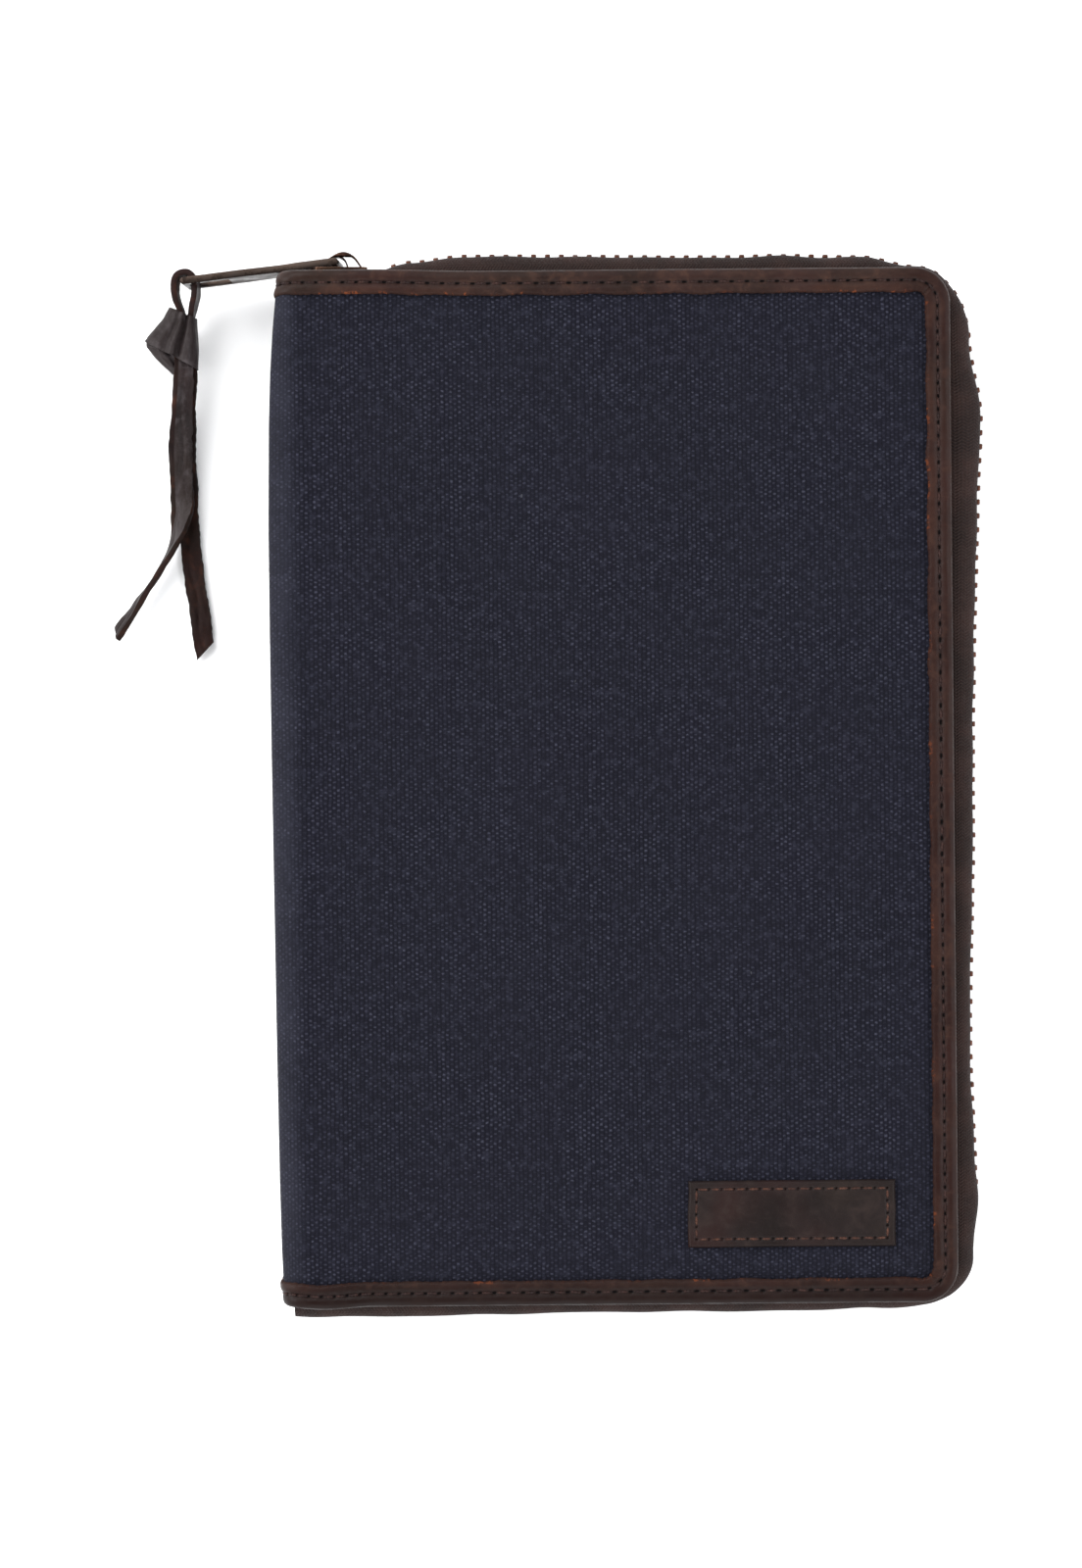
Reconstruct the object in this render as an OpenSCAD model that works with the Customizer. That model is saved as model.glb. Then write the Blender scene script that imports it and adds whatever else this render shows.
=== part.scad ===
// Zip-around travel wallet for a passport: two waxed canvas covers bound in leather,
// hinged at a soft spine and closed by a metal zip with a knotted leather thong.
// It lies on its back cover. X runs from the spine to the fore edge, Y up the cover,
// Z through the thickness. The origin is the centre of the back cover's resting face.

/* [Cover] */
// Width of a cover, from the outer face of the spine to the fore edge
cover_w = 132; // [124:1:150]
// Height of a cover
cover_h = 198; // [190:1:220]
// Corner radius at the fore edge
corner_r = 7; // [6:0.5:9]
// Closed thickness over both covers
closed_t = 24; // [24:0.5:28]

/* [Layers] */
// Thickness of the waxed canvas
canvas_t = 0.9; // [0.7:0.1:1.1]
// Thickness of the stiffener boards
board_t = 1.2; // [0.8:0.1:1.4]
// Thickness of the lining and of the flat pockets
lining_t = 0.6; // [0.4:0.1:0.8]
// Thickness of the leather binding
binding_t = 1.1; // [0.8:0.1:1.2]
// Visible width of the leather binding
binding_w = 4.8; // [4:0.1:6]

/* [Stitching] */
// Distance from one stitch to the next
stitch_pitch = 2.8; // [2:0.1:4]
// Length of one stitch
stitch_len = 1.9; // [1.2:0.1:2]
// Distance of the edge stitching from the cover's edge
stitch_in = 2.6; // [2:0.1:3]
// Distance from one stitch to the next on the label
label_stitch_pitch = 2.5; // [2:0.1:4]

/* [Label] */
// Width of the plain leather label
label_w = 40; // [30:1:50]
// Height of the plain leather label
label_h = 12.8; // [10:0.2:16]
// Thickness of the plain leather label
label_t = 1.1; // [0.8:0.1:1.6]

/* [Passport pocket] */
// Clear width of the passport pocket
passport_w = 94; // [90:1:96]
// Depth of the passport pocket, from its mouth to its closed end
passport_d = 118; // [100:1:120]
// Clear thickness of the passport pocket
passport_t = 4.8; // [4.4:0.1:5]

/* [Card pockets] */
// Width of the card pockets
card_w = 92; // [90:1:94]
// Step from one card pocket's mouth to the next
card_step = 13; // [9:1:14]
// Number of card pockets
card_count = 4; // [4:1:4]

/* [Zip] */
// Distance between neighbouring teeth of one row
tooth_pitch = 2.7; // [2.7:0.1:3.2]
// Width of one tooth along the chain
tooth_w = 1.0; // [0.8:0.05:1.05]
// Thickness of the chain, from its outer to its inner face
chain_t = 2.4; // [2.2:0.1:2.4]
// Thickness of the zip tape
tape_t = 0.6; // [0.5:0.05:0.6]

/* [Puller] */
// Distance from the puller's pivot to the bar that holds the thong
puller_reach = 29.9; // [26:0.1:34]
// Thickness of the puller
puller_t = 1.4; // [1.2:0.1:1.5]
// Width of the puller at the thong
puller_w = 7.4; // [7.2:0.1:8]

/* [Hidden] */
$fn = 48;
eps = 0.01;
half_w = cover_w / 2;
half_h = cover_h / 2;
mid_z = closed_t / 2;

// Heights through a cover, counted inwards from its outer face
canvas_z = binding_t;
board_z = canvas_z + canvas_t;
lining_z = board_z + board_t;
inner_leg_z = lining_z + lining_t;
stack_t = inner_leg_z + binding_t;

// The covers fold about two axes, one at each side of the spine
hinge_x = stack_t - half_w;
board_gutter = 0.8;

// Stitch groove in the binding and thread size
thread_w = 0.6;
thread_t = 0.28;
groove_w = 0.8;
groove_d = 0.3;
label_stitch_in = 1.6;
label_x = 32.5;
label_y = 15.9 - half_h;

// Pockets
pocket_t = 0.7;
slip_x = -46;
passport_wall = 1;
passport_panel_t = 0.9;
passport_x = 5;
passport_y = -8.5 - half_h * 0.2;
trim_t = 0.8;
trim_w = 6;
card_x = 6;
card_top_y = 86;
card_depth = 58;

// Zip chain: straight top run, corner, fore edge, corner, bottom run
tape_start_x = hinge_x + 0.1;
tape_end_x = -58;
corner_x = half_w - corner_r;
corner_y = half_h - corner_r;
path_out = 1;
path_r = corner_r + path_out;
arc_len = path_r * PI / 2;
top_len = corner_x - tape_start_x;
side_len = 2 * corner_y;
bottom_len = corner_x - tape_end_x;
arc1_end = top_len + arc_len;
side_end = arc1_end + side_len;
arc2_end = side_end + arc_len;
path_len = arc2_end + bottom_len;

// How far the chain's outer face stands out from the covers' edge, as
// [length along the zip, stand-off]: the sewn tape lets the chain bulge
standoff = [
  [0, 1.1], [13, 1.1], [22, 3.4], [32, 4.5], [90, 3.9], [110, 3.2], [119, 1.7],
  [127, 1.7], [138, 3.6], [154, 5.8], [170, 5.5], [195, 4.9], [230, 4.6],
  [275, 3.7], [304, 4.5], [316, 3.0], [326, 2.2], [338, 3.5], [355, 4.0],
  [410, 3.9], [500, 3.2]
];
chain_lean = 0.45;
slider_zone = 14;
lean_end = 26;

// Teeth: slotted jaws on the tape and a thinner head between the other row's heads
jaw_len = 3.0;
head_len = 1.3;
head_t = 1.6;
tooth_shoulder = 0.35;
tape_edge = 1.4;
slot_t = tape_t + 0.3;
first_tooth_s = 9.4;
last_tooth_gap = 5.5;
tooth_count = floor((path_len - last_tooth_gap - first_tooth_s) / tooth_pitch);

// Tape: a flange sewn inside the cover and a wall that rises to the chain
flange_in = 5;
wall_z = 8.4;
wall_bend_z = 6.3;
tape_mouth = 3.4;
mouth_s = 8;

// Slider, in its own frame at the middle of the chain
slider_x = -52.8;
slider_y = half_h + standoff[0][1] + 0.05 - chain_t / 2;
slider_clear = 0.14;
slider_front = -5.7;
slider_back = 5.3;
slider_half_front = 5.2;
slider_half_back = 4.3;
plate_t = 0.8;
plate_in = chain_t / 2 + slider_clear;
plate_out = plate_in + plate_t;
rail_w = 1.05;
rail_in = 0.5;

// Crown over the slider's outer plate, and the puller's pivot inside it
crown_w = 3.4;
pivot_x = -53.5;
pivot_y = half_h + 3.45;
pivot_pos = [pivot_x, pivot_y, mid_z];
puller_roll = -3.5;
puller_droop = -6;
puller_tilt = 4.7;
eye_w = 6.9;
eye_hole_w = 4.8;
eye_hole_start = 0.95;
eye_hole_end = 6.2;
slot_w = 4.9;
slot_len = 8;
wrist_w = 6;

// Thong: loop round the puller's end bar, knot and two tails
strap_w = 5;
strap_t = 1.2;
loop_w = 4.5;
loop_r = 1.3;
loop_drop = 6.2;
thong_pos = [
  pivot_x - puller_reach * cos(puller_droop) * cos(puller_tilt),
  pivot_y - puller_reach * cos(puller_droop) * sin(puller_tilt),
  mid_z + puller_reach * sin(puller_droop)
];
knot_points = [
  [-84.6, 93.2, 8.4], [-81.6, 92.6, 8.4], [-89.2, 88.2, 6.6], [-81.9, 85.0, 7.4],
  [-84.4, 84.6, 4.6], [-82.0, 91.0, 5.0], [-86.0, 86.0, 5.4]
];
knot_r = 1.6;
// Route of each tail, from the knot to the tip
front_route = [
  [-83.4, 83.0, 7.4], [-83.6, 79.0, 6.8], [-84.0, 74.0, 6.0], [-84.4, 69.0, 5.2],
  [-84.8, 64.0, 4.6], [-85.2, 59.0, 4.0], [-86.2, 54.0, 3.4], [-88.2, 49.0, 3.0],
  [-91.0, 44.0, 2.8], [-94.0, 40.0, 2.7], [-97.2, 36.0, 2.7], [-100.6, 32.2, 2.7]
];
back_route = [
  [-82.8, 83.0, 5.2], [-82.8, 79.0, 4.3], [-83.0, 74.0, 3.2], [-83.0, 69.0, 2.2],
  [-83.0, 64.0, 1.4], [-83.0, 59.0, 1.0], [-82.9, 54.0, 0.9], [-82.6, 49.0, 0.9],
  [-82.0, 44.0, 0.9], [-81.3, 39.0, 0.9], [-80.6, 34.0, 0.9], [-80.0, 29.4, 0.9]
];
tail_sides = 8;

navy = [0.15, 0.15, 0.20];
brown = [0.26, 0.17, 0.15];
tape_brown = [0.22, 0.17, 0.16];
lining_grey = [0.30, 0.29, 0.28];
board_grey = [0.55, 0.52, 0.46];
thread_brown = [0.34, 0.20, 0.16];
brass = [0.45, 0.34, 0.24];

// ---- Shared outlines ------------------------------------------------------------

// Cover outline grown outwards by grow, open-ended at from_x on the spine side
module outline(grow, from_x) {
  r = corner_r + grow;
  right = half_w + grow;
  top = half_h + grow;
  translate([from_x, -top]) square([right - r - from_x, 2 * top]);
  translate([from_x, r - top]) square([right - from_x, 2 * (top - r)]);
  for (side = [-1, 1])
    translate([right - r, side * (top - r)]) circle(r = r);
}

// Band between two outlines, round the three zipped sides
module edge_band(outer, inner, from_x) {
  difference() {
    outline(outer, from_x);
    outline(inner, from_x - 1);
  }
}

// Turns a piece modelled on the back cover into its twin on the front cover
module as_front() {
  translate([0, 0, closed_t]) mirror([0, 0, 1]) children();
}

// ---- Cover layers, modelled on the back cover --------------------------------------

module cover_layer(depth, thick, from_x) {
  translate([0, 0, depth]) linear_extrude(thick) outline(-binding_t, from_x);
}

module cover_binding() {
  difference() {
    union() {
      linear_extrude(stack_t) edge_band(0, -binding_t, hinge_x);
      linear_extrude(binding_t) edge_band(0, -binding_w, hinge_x);
      translate([0, 0, inner_leg_z])
        linear_extrude(binding_t) edge_band(0, -binding_w, hinge_x);
    }
    translate([0, 0, -eps]) linear_extrude(groove_d + eps)
      edge_band(groove_w / 2 - stitch_in, -groove_w / 2 - stitch_in, hinge_x - 1);
  }
}

// Point and outward direction on the outline grown by out, at length s from from_x
function ring_point(s, out, from_x) =
  let (
    r = corner_r + out,
    arc = r * PI / 2,
    top = corner_x - from_x,
    side1 = top + arc,
    arc2 = side1 + side_len,
    low = arc2 + arc
  )
  s < top ? [from_x + s, half_h + out, 90]
  : s < side1 ? arc_point(90 - (s - top) / arc * 90, r, 1)
  : s < arc2 ? [half_w + out, corner_y - (s - side1), 0]
  : s < low ? arc_point(-(s - arc2) / arc * 90, r, -1)
  : [corner_x - (s - low), -half_h - out, -90];
function arc_point(angle, r, side) =
  [corner_x + r * cos(angle), side * corner_y + r * sin(angle), angle];

module edge_stitches() {
  in_r = corner_r - stitch_in;
  length = 2 * (corner_x - hinge_x) + side_len + in_r * PI;
  count = floor(length / stitch_pitch);
  for (i = [0 : count - 1]) {
    p = ring_point((i + 0.5) * stitch_pitch, -stitch_in, hinge_x);
    translate([p[0], p[1], groove_d - thread_t]) rotate([0, 0, p[2]])
      translate([-thread_w / 2, -stitch_len / 2, 0]) cube([thread_w, stitch_len, thread_t]);
  }
}

module canvas_back() {
  color(navy) cover_layer(canvas_z, canvas_t, hinge_x);
}
module stiffener_back() {
  color(board_grey) cover_layer(board_z, board_t, hinge_x + board_gutter);
}
module lining_back() {
  color(lining_grey) cover_layer(lining_z, lining_t, hinge_x);
}
module binding_back() {
  color(brown) cover_binding();
}
module stitching_back() {
  color(thread_brown) edge_stitches();
}
module canvas_front() {
  color(navy) as_front() cover_layer(canvas_z, canvas_t, hinge_x);
}
module stiffener_front() {
  color(board_grey) as_front() cover_layer(board_z, board_t, hinge_x + board_gutter);
}
module lining_front() {
  color(lining_grey) as_front() cover_layer(lining_z, lining_t, hinge_x);
}
module binding_front() {
  color(brown) as_front() cover_binding();
}
module stitching_front() {
  color(thread_brown) as_front() edge_stitches();
}

// ---- Spine ---------------------------------------------------------------------------

// Layer between two depths, wrapped round both folds of the spine, from y0 to y1
module spine_wrap(depth0, depth1, y0, y1) {
  outer = stack_t - depth0;
  inner = stack_t - depth1;
  translate([0, y1, 0]) rotate([90, 0, 0]) linear_extrude(y1 - y0) {
    translate([depth0 - half_w, stack_t]) square([depth1 - depth0, closed_t - 2 * stack_t]);
    for (side = [0, 1])
      translate([hinge_x, mid_z + (2 * side - 1) * (mid_z - stack_t)])
        mirror([0, side]) intersection() {
          difference() {
            circle(r = outer);
            if (inner > 0) circle(r = inner);
          }
          translate([-outer, -outer]) square(outer);
        }
  }
}

// Leather strip over one end of the spine; side is 1 at the top and -1 at the bottom
module spine_binding(side) {
  edge = side * half_h;
  wall = side * (half_h - binding_t);
  leg = side * (half_h - binding_w);
  spine_wrap(0, binding_t, min(edge, leg), max(edge, leg));
  spine_wrap(binding_t, inner_leg_z, min(edge, wall), max(edge, wall));
  spine_wrap(inner_leg_z, stack_t, min(edge, leg), max(edge, leg));
}

module canvas_spine() {
  color(navy) spine_wrap(canvas_z, board_z, binding_t - half_h, half_h - binding_t);
}
module stiffener_spine() {
  color(board_grey)
    translate([board_z - half_w, binding_t - half_h, stack_t + board_gutter])
      cube([board_t, cover_h - 2 * binding_t, closed_t - 2 * (stack_t + board_gutter)]);
}
module lining_spine() {
  color(lining_grey) spine_wrap(lining_z, inner_leg_z, binding_t - half_h, half_h - binding_t);
}
module binding_spine_top() {
  color(brown) spine_binding(1);
}
module binding_spine_bottom() {
  color(brown) spine_binding(-1);
}

// ---- Label ---------------------------------------------------------------------------

module label_patch() {
  color(brown) translate([label_x, label_y, closed_t - canvas_z])
    difference() {
      translate([-label_w / 2, -label_h / 2, 0]) cube([label_w, label_h, label_t]);
      translate([0, 0, label_t - groove_d]) linear_extrude(groove_d + eps)
        label_stitch_band();
    }
}

// Groove for the label's stitches, a rectangle inside its edge
module label_stitch_band() {
  w = label_w - 2 * label_stitch_in;
  h = label_h - 2 * label_stitch_in;
  difference() {
    square([w + groove_w, h + groove_w], center = true);
    square([w - groove_w, h - groove_w], center = true);
  }
}

module label_stitching() {
  w = label_w - 2 * label_stitch_in;
  h = label_h - 2 * label_stitch_in;
  across = round(w / label_stitch_pitch);
  up = round(h / label_stitch_pitch);
  color(thread_brown) translate([label_x, label_y, closed_t - canvas_z + label_t - groove_d])
    for (side = [-1, 1]) {
      for (i = [0 : across - 1])
        translate([(i + 0.5 - across / 2) * w / across, side * h / 2, thread_t / 2])
          cube([stitch_len, thread_w, thread_t], center = true);
      for (i = [0 : up - 1])
        translate([side * w / 2, (i + 0.5 - up / 2) * h / up, thread_t / 2])
          cube([thread_w, stitch_len, thread_t], center = true);
    }
}

// ---- Pockets -------------------------------------------------------------------------

// Full-height flat pocket, open towards the spine
module flat_pocket() {
  translate([0, 0, inner_leg_z]) linear_extrude(pocket_t) intersection() {
    outline(-binding_w - 0.2, slip_x);
    translate([slip_x, -half_h]) square([cover_w, cover_h]);
  }
}

module document_pocket() {
  color(lining_grey) flat_pocket();
}
module slip_pocket() {
  color(lining_grey) as_front() flat_pocket();
}

passport_outer_w = passport_w + 2 * passport_wall;
passport_outer_d = passport_d + passport_wall;
passport_base_z = inner_leg_z + pocket_t;

module passport_gusset() {
  color(brown)
    translate([passport_x - passport_outer_w / 2, passport_y - passport_outer_d / 2, passport_base_z])
      difference() {
        cube([passport_outer_w, passport_outer_d, passport_t]);
        translate([passport_wall, passport_wall, -1])
          cube([passport_w, passport_outer_d, passport_t + 2]);
      }
}
module passport_panel() {
  color(brown)
    translate([passport_x - passport_outer_w / 2, passport_y - passport_outer_d / 2, passport_base_z + passport_t])
      cube([passport_outer_w, passport_outer_d, passport_panel_t]);
}
module passport_trim() {
  color(brown)
    translate([passport_x - passport_outer_w / 2,
               passport_y + passport_outer_d / 2 - trim_w,
               passport_base_z + passport_t + passport_panel_t])
      cube([passport_outer_w, trim_w, trim_t]);
}

// Card pocket number index, counted from the rearmost and tallest
module card_pocket(index) {
  low_y = card_top_y - (card_count - 1) * card_step - card_depth;
  color(lining_grey) as_front()
    translate([card_x - card_w / 2, low_y, inner_leg_z + pocket_t * index])
      cube([card_w, card_top_y - (index - 1) * card_step - low_y, pocket_t]);
}

// ---- Zip chain -----------------------------------------------------------------------

// Smooth reading of the stand-off list at length s
function standoff_at(s, i = 0) =
  i >= len(standoff) - 1 ? standoff[len(standoff) - 1][1]
  : s > standoff[i + 1][0] ? standoff_at(s, i + 1)
  : let (t = (s - standoff[i][0]) / (standoff[i + 1][0] - standoff[i][0]))
    standoff[i][1] + (standoff[i + 1][1] - standoff[i][1]) * (3 - 2 * t) * t * t;

// The rear half of the chain leans inwards a little, away from the slider
function lean_at(s) =
  chain_lean * min(1, max(0, (s - slider_zone) / (lean_end - slider_zone)));

// Middle of the tape at the chain, outwards from the covers' edge
function chain_out(s, lean) = standoff_at(s) - chain_t / 2 - lean * lean_at(s);

function chain_pos(s, lean) =
  let (p = ring_point(s, path_out, tape_start_x), d = chain_out(s, lean) - path_out)
  [p[0] + d * cos(p[2]), p[1] + d * sin(p[2])];

// Direction of the chain at length s, from two nearby points
function chain_dir(s, lean) =
  let (a = chain_pos(s - 0.5, lean), b = chain_pos(s + 0.5, lean))
  atan2(b[1] - a[1], b[0] - a[0]);

// Tooth outline across the chain: thickness along x, height above the middle along y
tooth_outline = [
  [-chain_t / 2, -jaw_len], [-slot_t / 2, -jaw_len], [-slot_t / 2, -tape_edge + 0.05],
  [slot_t / 2, -tape_edge + 0.05], [slot_t / 2, -jaw_len], [chain_t / 2, -jaw_len],
  [chain_t / 2, -tooth_shoulder], [head_t / 2, 0], [head_t / 2, head_len],
  [-head_t / 2, head_len], [-head_t / 2, 0], [-chain_t / 2, -tooth_shoulder]
];

// One row of teeth on the back half; shift is 0 or half a pitch
module teeth_row(shift, lean) {
  for (i = [0 : tooth_count - 1]) {
    s = first_tooth_s + (i + shift) * tooth_pitch;
    p = chain_pos(s, lean);
    translate([p[0], p[1], mid_z]) rotate([0, 0, chain_dir(s, lean) + 90])
      rotate([90, 0, 0]) translate([0, 0, -tooth_w / 2])
        linear_extrude(tooth_w) polygon(tooth_outline);
  }
}

// Gap between the tape's edge and the middle plane: it opens at the slider's mouth
function tape_gap(s) = tape_edge + (tape_mouth - tape_edge) * max(0, 1 - s / mouth_s);

// Closed ring of points round the tape's section at length s, for the back half
function tape_ring(s, lean) =
  let (
    c = chain_out(s, lean),
    u1 = min(-0.6, c - 1.5),
    z0 = stack_t + tape_t / 2,
    a = [u1, z0],
    b = [u1 + 0.6 * (c - u1), z0],
    d = [c, wall_bend_z],
    e = [c, wall_z],
    line = concat(
      [[-flange_in, z0, 0, 1]],
      [for (t = [0 : 0.25 : 1]) tape_curve(a, b, d, e, t)],
      [[c, mid_z - tape_gap(s), -1, 0]]
    ),
    count = len(line)
  )
  concat(
    [for (k = [0 : count - 1]) tape_point(s, line[k], -tape_t / 2)],
    [for (k = [count - 1 : -1 : 0]) tape_point(s, line[k], tape_t / 2)]
  );
// Point and inward direction on the tape's bend at fraction t
function tape_curve(a, b, d, e, t) =
  let (
    p = a * pow(1 - t, 3) + b * 3 * t * pow(1 - t, 2) + d * 3 * t * t * (1 - t) + e * pow(t, 3),
    v = (b - a) * pow(1 - t, 2) + (d - b) * 2 * t * (1 - t) + (e - d) * t * t,
    n = norm(v)
  )
  [p[0], p[1], -v[1] / n, v[0] / n];
function tape_point(s, q, side) =
  let (
    p = ring_point(s, path_out, tape_start_x),
    u = q[0] + q[2] * side - path_out
  )
  [p[0] + u * cos(p[2]), p[1] + u * sin(p[2]), q[1] + q[3] * side];

// Solid through a list of rings with the same number of points each
module sweep(rings) {
  n = len(rings[0]);
  m = len(rings);
  points = [for (ring = rings) for (p = ring) p];
  sides = [for (i = [0 : m - 2]) for (j = [0 : n - 1])
    [i * n + j, i * n + (j + 1) % n, (i + 1) * n + (j + 1) % n, (i + 1) * n + j]];
  first = [for (j = [n - 1 : -1 : 0]) j];
  last = [for (j = [0 : n - 1]) (m - 1) * n + j];
  polyhedron(points, concat([first], sides, [last]), convexity = 10);
}

// One ring of the tape at each tooth of its row, and a few before and after them
module tape_half(shift, lean) {
  start_s = first_tooth_s + shift * tooth_pitch;
  last_s = start_s + (tooth_count - 1) * tooth_pitch;
  stations = concat(
    [for (i = [0 : 3]) i * start_s / 4],
    [for (i = [0 : tooth_count - 1]) start_s + i * tooth_pitch],
    [(last_s + path_len) / 2, path_len]
  );
  sweep([for (s = stations) tape_ring(s, lean)]);
}

module zip_tape_back() {
  color(tape_brown) tape_half(0, 1);
}
module zip_tape_front() {
  color(tape_brown) as_front() tape_half(0.5, 0);
}
module zip_teeth_back() {
  color(brass) teeth_row(0, 1);
}
module zip_teeth_front() {
  color(brass) as_front() teeth_row(0.5, 0);
}

// ---- Zip stops -----------------------------------------------------------------------

// Clip on the end of one tape, with a slot for the tape
module top_stop() {
  stop_s = 0.8;
  p = chain_pos(stop_s, 0);
  edge_z = mid_z - tape_gap(stop_s);
  translate([p[0] - 0.5, p[1], edge_z]) difference() {
    translate([0, -1, -1.4]) cube([1, 2, 1.9]);
    translate([-1, -slot_t / 2, -2]) cube([3, slot_t, 2.15]);
  }
}
module top_stop_back() {
  color(brass) top_stop();
}
module top_stop_front() {
  color(brass) as_front() top_stop();
}

// Staple that joins both tapes beyond the last teeth at the bottom end of the zip
module zip_bottom_stop() {
  stop_l = 2.2;
  stop_h = 2.9;
  s = path_len - 3;
  p = chain_pos(s, 0.5);
  slot = tape_t + 1.1;
  color(brass) translate([p[0], p[1], mid_z]) difference() {
    cube([stop_l, chain_t + 0.5, 2 * stop_h], center = true);
    for (side = [-1, 1])
      translate([0, 0, side * (stop_h + 0.25)])
        cube([stop_l + 1, slot, 2 * stop_h], center = true);
  }
}

// ---- Slider --------------------------------------------------------------------------

// Slider plan: x along the chain, y across it; wide mouth to the left
module slider_plan(inset) {
  front = slider_half_front - inset;
  back = slider_half_back - inset;
  polygon([
    [slider_front, front - 2.4], [slider_front + 1.1, front], [slider_front + 5, front],
    [slider_back - 3, back], [slider_back - 0.6, back], [slider_back, back - 0.6],
    [slider_back, 0.6 - back], [slider_back - 0.6, -back], [slider_back - 3, -back],
    [slider_front + 5, -front], [slider_front + 1.1, -front], [slider_front, 2.4 - front]
  ]);
}

// Extrudes a plan outwards from the chain between two distances from its middle
module outward(from, to) {
  translate([slider_x, slider_y, mid_z]) rotate([-90, 0, 0]) translate([0, 0, from])
    linear_extrude(to - from) children();
}

module slider_body() {
  color(brass) {
    for (side = [0, 1]) {
      low = side == 0 ? plate_in : -plate_out;
      rail = side == 0 ? rail_in : -plate_in;
      outward(low, low + plate_t) slider_plan(0);
      outward(rail, rail + plate_in - rail_in) difference() {
        slider_plan(0);
        slider_plan(rail_w);
        translate([slider_front - 1, -slider_half_front + rail_w + 0.6])
          square([3, 2 * (slider_half_front - rail_w - 0.6)]);
        translate([slider_back - 2, -slider_half_back + rail_w])
          square([3, 2 * (slider_half_back - rail_w)]);
      }
    }
    outward(-plate_in, plate_in)
      polygon([[-5.3, 1], [-4, 1.5], [-2.6, 0.9], [-1.4, 0], [-2.6, -0.9], [-4, -1.5], [-5.3, -1]]);
  }
}

// Crown: an arch over the outer plate, with a round-topped opening for the puller's bar
module slider_crown() {
  base = slider_y + plate_out;
  hole_r = 1.1;
  hole_top = pivot_y + 1.1;
  left = slider_x + slider_front;
  right = slider_x + slider_back;
  color(brass) translate([0, 0, mid_z - crown_w / 2]) linear_extrude(crown_w)
    difference() {
      polygon([
        [left, base], [left + 0.6, base + 0.9], [left + 3.3, base + 2.8],
        [left + 4.7, base + 3.65], [left + 5.7, base + 3.95], [left + 6.9, base + 3.7],
        [left + 8.2, base + 2.8], [right - 0.7, base + 1.1], [right, base]
      ]);
      translate([pivot_x - 2.9, base - 1]) square([5.8, hole_top - hole_r - base + 1]);
      for (side = [-1, 1])
        translate([pivot_x + side * 1.8, hole_top - hole_r]) circle(r = hole_r);
      translate([pivot_x - 1.8, base]) square([3.6, hole_top - base]);
    }
}

// ---- Puller --------------------------------------------------------------------------

// Places a piece modelled at the puller's pivot, with the bar running along -X
module at_puller() {
  translate(pivot_pos) rotate([puller_roll, puller_droop, puller_tilt]) children();
}

// Puller outline seen from outside: x along the bar, y across it
module puller_plan() {
  tip_r = 2;
  tip = -puller_reach;
  waist = -11;
  polygon([
    [0, eye_w / 2], [-eye_hole_end - 0.8, eye_w / 2], [waist, wrist_w / 2],
    [tip + slot_len + 3, puller_w / 2], [tip, puller_w / 2], [tip, -puller_w / 2],
    [tip + slot_len + 3, -puller_w / 2], [waist, -wrist_w / 2],
    [-eye_hole_end - 0.8, -eye_w / 2], [0, -eye_w / 2]
  ]);
  translate([tip - puller_t / 2 + tip_r, 0]) square([0.1, puller_w - 1], center = true);
}

module zip_puller() {
  bar_r = puller_t / 2;
  tip = -puller_reach;
  color(brass) at_puller() {
    difference() {
      rotate([90, 0, 0]) translate([0, 0, -bar_r]) linear_extrude(puller_t) difference() {
        puller_plan();
        translate([-eye_hole_end, -eye_hole_w / 2])
          square([eye_hole_end + 1, eye_hole_w]);
        translate([tip - 1, -slot_w / 2]) square([slot_len + 1 + bar_r, slot_w]);
      }
    }
    for (x = [0, tip])
      translate([x, 0, 0]) cylinder(r = bar_r, h = x == 0 ? eye_w : puller_w, center = true);
  }
}

// ---- Thong ---------------------------------------------------------------------------

module thong_knot() {
  outer = loop_r + strap_t;
  color(brown) {
    translate(thong_pos) rotate([puller_roll, puller_droop, puller_tilt]) rotate([0, 0, -puller_tilt])
      translate([0, 0, -loop_w / 2]) linear_extrude(loop_w) difference() {
        union() {
          circle(r = outer);
          polygon([[-outer, 0], [outer, 0], [1.7, -loop_drop], [-1.7, -loop_drop]]);
        }
        circle(r = loop_r);
        polygon([[-loop_r, 0], [loop_r, 0], [0.2, 1.4 - loop_drop], [-0.2, 1.4 - loop_drop]]);
      }
    hull() for (p = knot_points) translate(p) sphere(r = knot_r, $fn = 24);
  }
}

// Ring of a tail: a flat oval, half_a across the table and half_b high
function tail_ring(route, i, half_a, half_b) =
  let (
    a = route[max(0, i - 1)],
    b = route[min(len(route) - 1, i + 1)],
    dir = (b - a) / norm(b - a),
    across = [-dir[1], dir[0], 0] / norm([dir[0], dir[1]]),
    up = cross(dir, across)
  )
  [for (k = [0 : tail_sides - 1])
    route[i] + across * half_a * cos((k + 0.5) * 360 / tail_sides)
    + up * half_b * sin((k + 0.5) * 360 / tail_sides)];

// The front tail turns onto its edge towards its tip, and the back tail lies flat
module thong_tail_front() {
  turn_from = 5;
  turn_to = 8;
  count = len(front_route);
  color(brown) sweep([for (i = [0 : count - 1])
    let (t = min(1, max(0, (i - turn_from) / (turn_to - turn_from))))
    tail_ring(front_route, i,
      strap_w / 2 * (1 - t) + strap_t / 2 * t,
      strap_t / 2 * (1 - t) + strap_w / 2 * t)]);
}
module thong_tail_back() {
  color(brown) sweep([for (i = [0 : len(back_route) - 1])
    tail_ring(back_route, i, strap_w / 2, strap_t / 2)]);
}

// ---- Drawing -------------------------------------------------------------------------

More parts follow.
